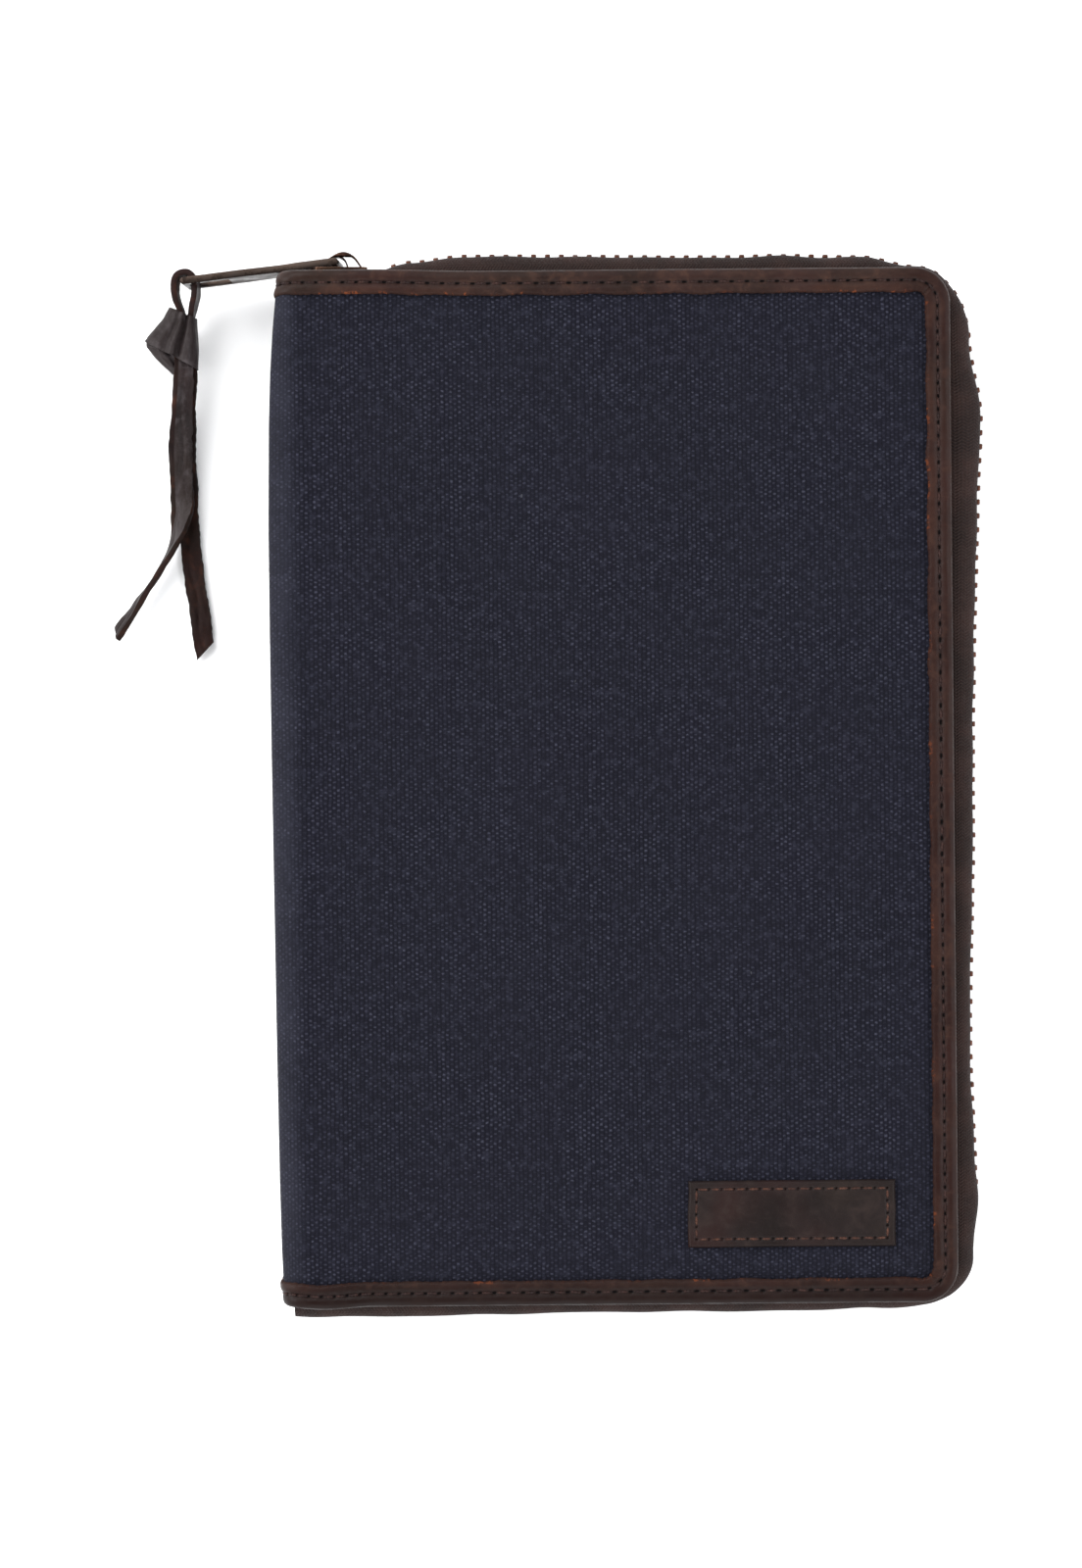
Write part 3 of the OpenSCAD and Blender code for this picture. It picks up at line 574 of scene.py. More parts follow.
# The binding's section: distance out from the cover's edge, and depth below its face.
STITCH_IN, STITCH_PITCH = 2.6, 2.8
BIND = np.array([
    (-4.78, 1.12), (-4.9, 0.62), (-4.84, 0.3), (-4.6, 0.1), (-4.2, 0.0), (-3.7, -0.02), (-3.2, 0.05),
    (-2.85, 0.2), (-2.6, 0.34), (-2.35, 0.2), (-2.0, 0.03), (-1.5, -0.04), (-1.0, 0.03), (-0.6, 0.2),
    (-0.28, 0.52), (-0.1, 0.95), (-0.02, 1.5), (0.0, 2.4), (-0.02, 3.3), (-0.1, 3.95), (-0.28, 4.38),
    (-0.6, 4.7), (-1.0, 4.87), (-1.5, 4.93), (-2.0, 4.87), (-2.6, 4.58), (-3.2, 4.87), (-4.1, 4.92),
    (-4.6, 4.8), (-4.84, 4.55), (-4.8, 3.95), (-3.4, 3.85), (-1.2, 3.8), (-1.1, 2.45), (-1.2, 1.12),
    (-3.2, 1.1)])
BIND_V = lengths(BIND)
BROWN = (srgb(44, 27, 24), srgb(66, 44, 39), srgb(92, 63, 51))
LABEL_BROWN = (srgb(33, 25, 24), srgb(46, 36, 35), srgb(62, 49, 45))
STRAP_FACE = (srgb(43, 34, 33), srgb(73, 65, 66), srgb(100, 92, 94))
STRAP_FLESH = (srgb(26, 15, 14), srgb(46, 28, 25), srgb(88, 54, 42))
CHANNEL_V = BIND_V[8]
RAW_V = 1.3

CANVAS = canvas_material()
BINDING = leather_material("brown_leather", BROWN, holes=(STITCH_PITCH, CHANNEL_V), raw_edge=RAW_V)
TRIM_LEATHER = leather_material("trim_leather", BROWN, seed=41.0)
LABEL = leather_material("label_leather", LABEL_BROWN, grain=0.42, seed=17.0, gloss=0.5)
STRAP = leather_material("thong_leather", STRAP_FACE, grain=0.36, seed=5.0, gloss=0.42, crinkle=1.0)
FLESH = leather_material("thong_flesh_side", STRAP_FLESH, grain=0.3, seed=9.0, gloss=0.68)
THREAD = thread_material("edge_thread", srgb(46, 28, 26), srgb(78, 50, 44))
LABEL_THREAD = thread_material("label_thread", srgb(70, 42, 34), srgb(112, 72, 56))
TAPE = tape_material()
TEETH = metal_material("zip_teeth", srgb(34, 19, 16), srgb(86, 48, 38), srgb(128, 84, 68), 0.42, 0.9)
SLIDER = metal_material("zip_slider", srgb(32, 19, 16), srgb(74, 44, 34), srgb(140, 106, 86), 0.28, 1.3)
PULLER = metal_material("zip_puller", srgb(28, 19, 17), srgb(46, 32, 28), srgb(96, 82, 74), 0.26, 2.6, 0.3)
LINING = cloth_material("lining_cloth", srgb(34, 29, 28), srgb(60, 52, 49))
POCKET = cloth_material("pocket_cloth", srgb(38, 31, 29), srgb(72, 61, 55), 0.5)
BOARD = board_material()


# ---------------------------------------------------------------- the cloth's way round the wallet
def wrap(u):
    """Point and outward normal in the X-Z plane at length u from the middle of the spine, front half."""
    u = np.asarray(u, float)
    a = math.pi - np.clip((u - SPINE_HALF) / FOLD_ARC, 0, 1) * math.pi / 2
    x = HINGE_X + STACK_T * np.cos(a) + np.maximum(u - FOLD_END, 0)
    z = CLOSED_T - STACK_T + STACK_T * np.sin(a) + np.minimum(u - SPINE_HALF, 0)
    return x, z, np.cos(a), np.sin(a)


def spine_share(u):
    """1 on the spine, falling to 0 a little way onto the cover."""
    return smooth01(1 - (u - SPINE_HALF * 0.8) / (FOLD_END + 3 - SPINE_HALF * 0.8))


def spine_bulge(y):
    """How far the cloth at the spine stands out from its flat place."""
    return np.interp(y, [-99, -95, -88, -75, -50, -20, 0, 25, 50, 70, 80, 88, 95, 99],
                     [0.1, 0.35, 0.65, 0.95, 1.3, 1.6, 1.8, 2.0, 2.1, 1.85, 1.5, 0.95, 0.25, -0.25])


def right_limit(y, inset):
    """The fore edge of a layer whose outline lies `inset` inside the cover's edge."""
    r = CORNER_R - inset
    dy = np.clip(np.abs(y) - CORNER_Y, 0, r)
    return CORNER_X + np.sqrt(np.maximum(r * r - dy * dy, 0.01))


def settled(pts):
    """The sewn covers come out a little long and narrow, and bell out beside the zip's two ends."""
    out = np.array(pts, float)
    x, y = out[..., 0], out[..., 1]
    top = 0.45 + 0.5 * smooth01((-25 - x) / 25) * smooth01((x + 70) / 8)
    low = 1.2 + 0.5 * bump(x + 57, 9)
    out[..., 0] = x - 0.9 * np.clip((x + 20) / 86, 0, 1)
    share = smooth01(np.abs(y) / HALF_H * 1.2 - 0.2)
    out[..., 1] = y + np.where(y > 0, top, -low) * share
    return out


def cover_cloth(name, depth, inset, lift, material, front, step_u, step_y, bulge):
    """A cover's cloth with its half of the spine. lift(x, y) raises it outwards."""
    u = np.unique(np.concatenate([np.linspace(0, SPINE_HALF, 11), np.linspace(SPINE_HALF, FOLD_END, 15),
                                  np.linspace(FOLD_END, FOLD_END + CORNER_X - HINGE_X + CORNER_R - inset,
                                              int(128 / step_u))]))
    y = np.linspace(-HALF_H + inset, HALF_H - inset, int(198 / step_y))
    U, Y = np.meshgrid(u, y, indexing="ij")
    x, z, nx, nz = wrap(U)
    out = spine_share(U) * bulge(Y) - depth + lift(x, Y)
    squeeze = 48.0
    limit = right_limit(Y, inset)
    full = HALF_W - inset
    x = np.where(x > squeeze, squeeze + (x - squeeze) * (limit - squeeze) / (full - squeeze), x)
    pts = settled(np.stack([x + nx * out, Y, z + nz * out], -1))
    if not front:
        pts = flip_front(pts)
    uv = np.stack([U if front else -U, Y], -1)
    faces, _, _ = grid_faces(*U.shape)
    corners = np.array(faces).ravel()
    return new_object(name, pts.reshape(-1, 3), faces, uv.reshape(-1, 2)[corners], [material],
                      recalc=False, angle=0)


def orient(ob, towards):
    """Turns an open surface so that its faces look along `towards` at its middle."""
    total = sum((f.normal.dot(Vector(towards)) * f.area for f in ob.data.polygons), 0.0)
    if total < 0:
        ob.data.flip_normals()


def dome(x, y):
    """How far the canvas stands up off a cover."""
    inside = (1 - np.clip(np.abs(x) / 61, 0, 1) ** 4) * (1 - np.clip(np.abs(y) / 94, 0, 1) ** 5)
    return 0.45 * inside + 0.07 * waves2(x, y, 38, 3) * inside


def bend_front(ob):
    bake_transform(ob)


def bend_back(ob):
    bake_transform(ob)


def solidify(ob, thickness):
    m = ob.modifiers.new("thickness", "SOLIDIFY")
    m.thickness = thickness * MM
    m.offset = -1


# ---------------------------------------------------------------- the thong, a leather strip in two tails
FRONT_ROUTE = [
    (-83.9, 86.2, 7.0), (-83.9, 82.6, 7.3), (-84.1, 78.6, 6.8), (-84.5, 73.6, 6.0), (-84.8, 68.6, 5.2),
    (-84.9, 63.6, 4.6), (-84.8, 58.6, 4.0), (-84.9, 54.0, 3.5), (-86.6, 48.2, 3.0),
    (-89.1, 43.4, 2.8), (-92.0, 39.1, 2.7), (-95.0, 34.9, 2.6), (-97.9, 30.6, 2.5)]
BACK_ROUTE = [
    (-83.4, 85.6, 5.6), (-83.5, 82.6, 5.2), (-83.8, 78.6, 4.3), (-84.0, 73.6, 3.2), (-84.1, 68.6, 2.2),
    (-84.0, 63.6, 1.4), (-83.9, 58.6, 1.0), (-83.7, 54.0, 0.9), (-83.4, 48.5, 0.9), (-82.9, 43.5, 0.9),
    (-82.3, 39.0, 0.9), (-81.6, 34.0, 0.9), (-81.0, 29.5, 0.9), (-80.6, 27.2, 0.9)]
STRAP_T = 1.2


def strap_section(width, thick):
    """Rounded section of the strip: across, through, and which material each side has."""
    w, t = width / 2, thick / 2
    flat = w * 0.93
    top = [(x * flat, t) for x in np.linspace(-1, 1, 11)]
    right = [(w * 0.985, t * 0.6), (w, 0.0), (w * 0.98, -t * 0.6)]
    low = [(x * flat, -t) for x in np.linspace(1, -1, 11)]
    left = [(-w * 0.98, -t * 0.6), (-w, 0.0), (-w * 0.985, t * 0.6)]
    return np.array(top + right + low + left), [0] * 10 + [1] * 4 + [1] * 10 + [1] * 4


def strap(name, route, roll_at, width_at, thick, cut, seed, faces, cup=0.12, step=0.5):
    """Leather strip along a route. roll_at turns it about its length; cut slants its far end."""
    p, s = curve_points(route, step)
    d = unit(np.gradient(p, axis=0))
    across0 = unit(np.stack([-d[:, 1], d[:, 0], np.zeros(len(d))], -1))
    up0 = np.cross(d, across0)
    t = s / s[-1]
    roll = roll_at(t)[:, None]
    across = across0 * np.cos(roll) + up0 * np.sin(roll)
    up = np.cross(d, across)
    section, _ = strap_section(1.0, 1.0)
    section[:, 0] = section[:, 0] / np.abs(section[:, 0]).max()
    section[:, 1] *= thick
    half = width_at(t) / 2
    a = section[None, :, 0] * half[:, None]
    edge = np.abs(section[None, :, 0]) ** 3
    ragged = waves(s, 2.2, seed) * 0.07 + waves(s, 7.0, seed + 1) * 0.1
    other = waves(s, 2.6, seed + 2) * 0.07 + waves(s, 9.0, seed + 3) * 0.1
    a = a + np.where(section[None, :, 0] > 0, ragged[:, None], -other[:, None]) * edge
    b = section[None, :, 1] * (1 + 0.12 * waves(s, 6.0, seed + 4)[:, None])
    b = b - cup * (np.abs(section[None, :, 0]) ** 2)
    b = b + 0.09 * waves2(s[:, None] * 0.45, a * 1.6, 2.6, seed + 5)
    crease = 0.28 * np.exp(-((section[None, :, 0] - 0.35 * waves(s, 26, seed + 6)[:, None]) / 0.16) ** 2)
    b = b - np.where(section[None, :, 1] > 0, crease, 0)
    slide = cut * (a / half[:, None]) * smooth01((t[:, None] - 0.9) / 0.1)
    pts = (p[:, None] + across[:, None] * a[..., None] + up[:, None] * b[..., None]
           + d[:, None] * slide[..., None])
    v = lengths(section * [half.mean(), 1])
    ob = swept(name, pts, s, v, [STRAP, FLESH], column_material=faces, angle=50)
    return ob, p, s[-1]


def front_roll(t):
    """The front tail turns on edge towards its end, and a little way back."""
    return math.radians(92) * smooth01((t - 0.4) / 0.34) - math.radians(30) * smooth01((t - 0.78) / 0.2) - 0.1


front_tail, front_line, front_len = strap(
    "thong_tail_front_strip", FRONT_ROUTE, front_roll,
    lambda t: 3.9 + 0.7 * smooth01(t * 4 - 0.3) - 1.6 * smooth01((t - 0.5) / 0.5), 1.1, 0.9, 11,
    [1, 1] + [0] * 8 + [1] * 18)
back_tail, back_line, back_len = strap(
    "thong_tail_back_strip", BACK_ROUTE,
    lambda t: math.radians(7) * np.sin(t * 5) + math.radians(4),
    lambda t: 4.3 - 0.3 * smooth01(t * 1.5), STRAP_T, -1.5, 23, [1] * 28, cup=0.05)

LOOP_CENTRE = np.array([-83.3, 98.9, 8.8746])
ROLL, DROOP = math.radians(-3.5), math.radians(-6.0)


def turned(v):
    """A direction in the puller's own frame, but without its tilt in the plane."""
    cos, sin = math.cos(ROLL), math.sin(ROLL)
    from_x = np.array([[1, 0, 0], [0, cos, -sin], [0, sin, cos]])
    cos, sin = math.cos(DROOP), math.sin(DROOP)
    from_y = np.array([[cos, 0, sin], [0, 1, 0], [-sin, 0, cos]])
    return np.asarray(v) @ (from_y @ from_x).T


loop_flat = ([(-0.62, -8.6, 0), (-0.66, -7.2, 0), (-0.95, -5.6, 0), (-1.6, -3.6, 0), (-2.0, -1.8, 0)]
             + [(-2.0 * math.cos(a), 2.0 * math.sin(a), 0) for a in np.linspace(0, math.pi, 9)]
             + [(2.0, -1.8, 0), (1.7, -3.4, 0), (1.1, -5.4, 0), (0.72, -7.2, 0), (0.62, -8.6, 0)])
loop_line, loop_s = curve_points(loop_flat, 0.35)
loop_d = unit(np.gradient(loop_line, axis=0))
loop_n = np.stack([-loop_d[:, 1], loop_d[:, 0], loop_d[:, 2] * 0], -1)
section, index = strap_section(4.5, 1.15)
leg = smooth01((np.abs(loop_s / loop_s[-1] - 0.5) - 0.2) / 0.26)
wide = 1 - 0.42 * leg
loop_line = loop_line + leg[:, None] * [0, 0, -1.6]
loop_pts = (loop_line[:, None]
            + np.array([0, 0, 1.0]) * (section[None, :, 0] * wide[:, None])[..., None]
            + loop_n[:, None] * (section[None, :, 1]
                                 + 0.04 * waves2(loop_s[:, None], section[None, :, 0], 3, 31)
                                 + 0.05 * (section[None, :, 0] ** 2 / 5))[..., None])
loop_pts = turned(loop_pts) + LOOP_CENTRE
thong_loop = swept("thong_loop", loop_pts, loop_s, lengths(section), [STRAP, FLESH], column_material=index,
                   angle=50)


def wrap_shell(name, left, right, tops, lows, ridge, seed):
    """Leather wrapped round the strands: rings between a left and a right edge line, with folds on top."""
    rows = 40
    t = np.linspace(0, 1, rows)
    k = np.linspace(0, 1, len(left))
    L = np.stack([np.interp(t, k, [p[c] for p in left]) for c in range(3)], -1)
    R = np.stack([np.interp(t, k, [p[c] for p in right]) for c in range(3)], -1)
    n = 96
    a = np.arange(n) * 2 * math.pi / n
    c = (1 - np.cos(a)) / 2
    side = np.sin(a)
    shape = np.abs(side) ** 0.72
    top = np.interp(t, np.linspace(0, 1, len(tops)), tops)[:, None]
    low = np.interp(t, np.linspace(0, 1, len(lows)), lows)[:, None]
    z = np.where(side[None] >= 0, shape[None] * top, -shape[None] * low)
    z = z + np.where(side[None] >= 0, 1, 0.3) * ridge(c[None], t[:, None]) * smooth01(shape[None] * 1.6)
    pts = L[:, None] * (1 - c[None, :, None]) + R[:, None] * c[None, :, None]
    rough = [waves2(a[None] * 4, t[:, None] * 9, 4, k) for k in (seed, seed + 1)]
    pts = pts + 0.07 * np.stack(rough + [np.zeros((rows, n))], -1)
    pts[..., 2] += z
    mid = pts.mean(1, keepdims=True)
    inner = []
    for row, share in ((-1, 0.93), (-1, 0.82), (-4, 0.76), (-9, 0.7)):
        inner.append(mid[row] + (pts[row] - mid[row]) * share)
    start = [mid[0] + (pts[0] - mid[0]) * share for share in (0.6, 0.86)]
    every = np.stack([start[0] + [0, -1.5, 0], start[1]] + list(pts) + inner)
    u = np.append(0, np.cumsum(np.linalg.norm(np.diff(every, axis=0), axis=2).mean(1)))
    return swept(name, every, u, lengths(pts[rows // 2]), [STRAP], angle=55)


def wrap_folds(c, t):
    """Three lengthwise folds of the knot's front."""
    groove = -1.15 * np.exp(-((c - 0.66 + 0.05 * t) / 0.055) ** 2)
    second = -0.55 * np.exp(-((c - 0.40 + 0.02 * t) / 0.06) ** 2)
    ridge = 0.45 * np.exp(-((c - 0.53 + 0.03 * t) / 0.07) ** 2) + 0.5 * np.exp(-((c - 0.83) / 0.09) ** 2)
    return (groove + second + ridge) * (0.75 + 0.25 * t)


thong_wrap = wrap_shell(
    "thong_wrap",
    [(-86.65, 94.45, 7.0), (-87.95, 92.15, 6.8), (-89.65, 90.15, 6.5), (-91.05, 88.85, 6.2),
     (-91.65, 87.85, 6.0)],
    [(-81.25, 92.05, 7.2), (-81.05, 89.45, 7.0), (-81.05, 86.95, 6.8), (-81.05, 84.55, 6.7),
     (-81.05, 82.15, 6.6)],
    [2.9, 3.3, 3.3, 3.2, 3.0], [2.6, 3.2, 3.4, 3.2, 2.8], wrap_folds, 51)
thong_under = wrap_shell(
    "thong_under_wrap",
    [(-91.35, 88.15, 5.6), (-91.35, 86.85, 5.5), (-89.85, 84.85, 5.4), (-87.75, 82.75, 5.3),
     (-86.25, 81.45, 5.2)],
    [(-82.85, 87.05, 5.8), (-82.55, 85.05, 5.6), (-82.35, 83.55, 5.5), (-82.15, 82.35, 5.4),
     (-81.95, 81.45, 5.3)],
    [1.6, 2.1, 2.0, 1.6, 1.1], [1.6, 2.2, 2.3, 2.0, 1.5],
    lambda c, t: 0.3 * np.exp(-((c - 0.3) / 0.12) ** 2) - 0.4 * np.exp(-((c - 0.5) / 0.08) ** 2), 61)

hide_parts("thong_knot")
for piece in (front_tail, back_tail, thong_loop, thong_wrap, thong_under):
    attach(piece, "thong")
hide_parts("thong_tail_front")
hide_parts("thong_tail_back")

# ---------------------------------------------------------------- canvas and linings
CANVAS_DEPTH, CANVAS_IN = 1.1, 1.3
LINING_DEPTH, LINING_IN = 3.75, 1.5
for front in (True, False):
    side = "front" if front else "back"
    cloth = cover_cloth("canvas_cloth_" + side, CANVAS_DEPTH, CANVAS_IN, dome, CANVAS, front, 1.6, 1.6,
                        spine_bulge)
    orient(cloth, (0, 0, 1 if front else -1))
    lining = cover_cloth("lining_cloth_" + side, LINING_DEPTH, LINING_IN, lambda x, y: 0 * x, LINING, front,
                         3.0, 3.0, lambda y: np.minimum(spine_bulge(y), 0.3) * 0.6)
    orient(lining, (0, 0, -1 if front else 1))
    for ob, thick, own in ((cloth, 0.9, "canvas_"), (lining, 0.5, "lining_")):
        if front:
            bend_front(ob)
            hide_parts(own + side, own + "spine")
        else:
            bend_back(ob)
            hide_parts(own + side)
        solidify(ob, thick)

for name in ("stiffener_back", "stiffener_front", "stiffener_spine"):
    nodes[name].data.materials.clear()
    nodes[name].data.materials.append(BOARD)

# ---------------------------------------------------------------- leather binding
IN_ARC = (CORNER_R - STITCH_IN) * math.pi / 2
TOP_RUN = CORNER_X - HINGE_X
RUN = [FOLD_END, FOLD_END + TOP_RUN, FOLD_END + TOP_RUN + IN_ARC]
RUN += [RUN[2] + SIDE_LEN, RUN[2] + SIDE_LEN + IN_ARC]
RUN += [RUN[4] + TOP_RUN]
BIND_LEN = RUN[5] + FOLD_END


def stitch_phase(s):
    """Length along the row with the stitches a little closer in some stretches than in others."""
    return s + 3.2 * np.sin(s * 2 * math.pi / 150)


def binding_frame(s):
    """Point on the cover's edge, outward direction and inward depth direction, at length s, front half."""
    s = np.asarray(s, float)
    near = np.minimum(s, BIND_LEN - s)
    x, z, nx, nz = wrap(np.minimum(near, FOLD_END))
    top = s < BIND_LEN / 2
    flat = (s > RUN[0]) & (s < RUN[5])
    angle = np.select([s < RUN[1], s < RUN[2], s < RUN[3], s < RUN[4]],
                      [math.pi / 2, math.pi / 2 * (1 - (s - RUN[1]) / IN_ARC), 0,
                       -math.pi / 2 * (s - RUN[3]) / IN_ARC], -math.pi / 2)
    cx = np.select([s < RUN[1], s < RUN[4]], [HINGE_X + s - RUN[0], CORNER_X], CORNER_X - (s - RUN[4]))
    cy = np.select([s < RUN[2], s < RUN[3]], [CORNER_Y, CORNER_Y - (s - RUN[2])], -CORNER_Y)
    edge = np.stack([np.where(flat, cx, x), np.where(flat, cy, np.where(top, CORNER_Y, -CORNER_Y)),
                     np.where(flat, CLOSED_T, z)], -1)
    out = np.stack([np.where(flat, np.cos(angle), 0),
                    np.where(flat, np.sin(angle), np.where(top, 1, -1)), 0 * s], -1)
    depth = np.stack([np.where(flat, 0, -nx), 0 * s, np.where(flat, -1, -nz)], -1)
    return edge + out * CORNER_R, out, depth


def binding_points(s, o, d):
    """Points of the binding at offset o from the edge and depth d, with the spine's ends pulled in."""
    c, out, depth = binding_frame(s)
    shape = np.broadcast(s[:, None], o).shape
    near = np.minimum(s, BIND_LEN - s)
    pull = spine_share(near)[:, None] * (0.45 + 0.75 * smooth01((np.broadcast_to(o, shape) + 4.8) / 4.8))
    pull = pull - 0.4 * (s > BIND_LEN / 2)[:, None] * spine_share(near)[:, None]
    return settled(c[:, None] + out[:, None] * o[..., None] + depth[:, None] * (d + pull)[..., None])


def binding(name, front):
    """The leather folded over one cover's edge and round the ends of its half of the spine."""
    seed = 100 if front else 200
    s = np.linspace(0, BIND_LEN, int(BIND_LEN / 0.35))
    o = np.repeat(BIND[None, :, 0], len(s), 0)
    d = np.repeat(BIND[None, :, 1], len(s), 0)
    raw = bump(BIND[:, 0] + 4.85, 1.0)[None] * (BIND[:, 1] < 2)[None]
    ragged = 0.05 * waves(s, 1.2, seed) + 0.13 * waves(s, 8, seed + 1) + 0.04 * waves(s, 0.8, seed + 2)
    o = o + raw * ragged[:, None]
    face = (BIND[:, 1] < 0.7) & (BIND[:, 0] < -0.2)
    d = d + face[None] * 0.05 * waves2(s[:, None], BIND[None, :, 0] * 3, 7, seed + 3)
    cell = (stitch_phase(s) / STITCH_PITCH) % 1.0
    hole = bump(np.abs(cell - 0.5) * STITCH_PITCH, 0.6)
    near_row = bump(BIND[:, 0] + STITCH_IN, 0.6) * (BIND[:, 1] < 1)
    d = d + hole[:, None] * near_row[None] * 0.4
    quilt = bump(BIND[:, 0] + STITCH_IN, 2.2) * (BIND[:, 1] < 1)
    d = d + (1 - hole[:, None]) * quilt[None] * 0.06
    for corner in (1, 3):
        seam = (RUN[corner] + RUN[corner + 1]) / 2
        line = bump(s - seam - 0.25 * waves(BIND[:, 0] * 2, 3, seed + 7).mean(), 0.55)
        inner = smooth01((-1.6 - BIND[:, 0]) / 1.2) * (BIND[:, 1] < 1)
        d = d + line[:, None] * inner[None] * 0.34
        over = smooth01((s - seam) / 0.5) * smooth01(1 - (s - seam) / 5.0)
        d = d - over[:, None] * inner[None] * 0.16
    pts = binding_points(s, o, d)
    if not front:
        pts = flip_front(pts)
    return swept(name, pts, stitch_phase(s), BIND_V, [BINDING], angle=0)


def edge_threads(name, front):
    """The row of stitches in the binding's channel."""
    even = np.linspace(0, BIND_LEN, 4000)
    s = np.interp(np.arange(int(BIND_LEN / STITCH_PITCH)) * STITCH_PITCH, stitch_phase(even), even)
    s = s[(s > 2.5) & (s < BIND_LEN - 2.5)]
    o = np.full((len(s), 1), -STITCH_IN)
    p = binding_points(s, o, np.full((len(s), 1), 0.26))[:, 0]
    ahead = binding_points(s + 0.2, o, np.full((len(s), 1), 0.26))[:, 0]
    _, _, depth = binding_frame(s)
    if not front:
        p, ahead, depth = flip_front(p), flip_front(ahead), depth * [1, 1, -1]
    return stitches(name, p, ahead - p, -depth, 2.1, 0.46, 0.3, THREAD)


for front in (True, False):
    side = "front" if front else "back"
    bound = binding("binding_leather_" + side, front)
    threads = edge_threads("edge_threads_" + side, front)
    for ob in (bound, threads):
        (bend_front if front else bend_back)(ob)
    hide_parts("binding_" + side, *(["binding_spine_top", "binding_spine_bottom"] if front else []))
    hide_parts("stitching_" + side)

# ---------------------------------------------------------------- label
LABEL_X, LABEL_Y, LABEL_W, LABEL_H, LABEL_T = 33.0, -82.8, 40.0, 12.8, 1.1
LABEL_IN = 1.6
lx = np.linspace(-1, 1, 201) * LABEL_W / 2
ly = np.linspace(-1, 1, 81) * LABEL_H / 2
LX, LY = np.meshgrid(lx, ly, indexing="ij")
to_edge = np.minimum(LABEL_W / 2 - np.abs(LX), LABEL_H / 2 - np.abs(LY))
row_x, row_y = LABEL_W / 2 - LABEL_IN, LABEL_H / 2 - LABEL_IN
on_x = np.abs(np.abs(LX) - row_x) + 9 * (np.abs(LY) > row_y + 0.3)
on_y = np.abs(np.abs(LY) - row_y) + 9 * (np.abs(LX) > row_x + 0.3)
across_n, up_n = 15, 4
cell_x = np.abs(((LX + row_x) / (2 * row_x) * across_n + 0.5) % 1 - 0.5) * 2 * row_x / across_n
cell_y = np.abs(((LY + row_y) / (2 * row_y) * up_n + 0.5) % 1 - 0.5) * 2 * row_y / up_n
groove = np.maximum(bump(on_x, 0.55), bump(on_y, 0.55))
holes = np.maximum(bump(on_y, 0.42) * bump(cell_x, 0.45), bump(on_x, 0.42) * bump(cell_y, 0.45))
label_top = (LABEL_T - 0.45 * smooth01(1 - to_edge / 0.5) ** 2 - 0.16 * groove - 0.45 * holes
             + 0.03 * waves2(LX, LY, 6, 71))
base = CLOSED_T - CANVAS_DEPTH + dome(LX + LABEL_X, LY + LABEL_Y)
shrink = 1 + 0.004 * waves2(LX, LY, 9, 77)
top = np.stack([LABEL_X + LX * shrink, LABEL_Y + LY * shrink, base + label_top], -1)
bottom = np.stack([LABEL_X + LX * shrink, LABEL_Y + LY * shrink, base - 0.25], -1)
label = slab("label_leather", top, bottom, np.stack([LX, LY], -1), [LABEL], angle=60)
placed(label, "front_cover", "label_patch")
centres, runs = [], []
for sign in (-1, 1):
    for i in range(across_n):
        x = (i + 0.5 - across_n / 2) * 2 * row_x / across_n
        centres.append((x, sign * row_y))
        runs.append((1, 0, 0))
    for i in range(up_n):
        y = (i + 0.5 - up_n / 2) * 2 * row_y / up_n
        centres.append((sign * row_x, y))
        runs.append((0, 1, 0))
centres = np.array(centres)
cz = CLOSED_T - CANVAS_DEPTH + dome(centres[:, 0] + LABEL_X, centres[:, 1] + LABEL_Y) + LABEL_T - 0.1
spots = np.stack([centres[:, 0] + LABEL_X, centres[:, 1] + LABEL_Y, cz], -1)
label_threads = stitches("label_threads", spots, runs, np.tile([0, 0, 1.0], (len(spots), 1)), 2.1, 0.46, 0.3,
                         LABEL_THREAD, 0.3)
placed(label_threads, "front_cover", "label_stitching")

# ---------------------------------------------------------------- zip chain: the CAD's path
TAPE_START, TAPE_END, PATH_OUT = HINGE_X + 0.1, -58.0, 1.0
STANDOFF = np.array([
    (0, 1.1), (13, 1.1), (22, 3.4), (32, 4.5), (90, 3.9), (110, 3.2), (119, 1.7), (127, 1.7), (138, 3.6),
    (154, 5.8), (170, 5.5), (195, 4.9), (230, 4.6), (275, 3.7), (304, 4.5), (316, 3.0), (326, 2.2),
    (338, 3.5), (355, 4.0), (410, 3.9), (500, 3.2)])
CHAIN_T, TOOTH_PITCH, TOOTH_W, FIRST_TOOTH, TOOTH_GAP_END = 2.4, 2.7, 1.0, 9.4, 5.5
CHAIN_LEAN, SLIDER_ZONE, LEAN_END = 0.45, 14.0, 26.0
TAPE_EDGE, TAPE_MOUTH, MOUTH_S, TAPE_T, FLANGE_IN = 1.4, 3.4, 8.0, 0.6, 5.0
ARC = (CORNER_R + PATH_OUT) * math.pi / 2
TOP_LEN, BOTTOM_LEN = CORNER_X - TAPE_START, CORNER_X - TAPE_END
PATH_LEN = TOP_LEN + ARC + SIDE_LEN + ARC + BOTTOM_LEN
TOOTH_COUNT = int((PATH_LEN - TOOTH_GAP_END - FIRST_TOOTH) / TOOTH_PITCH)


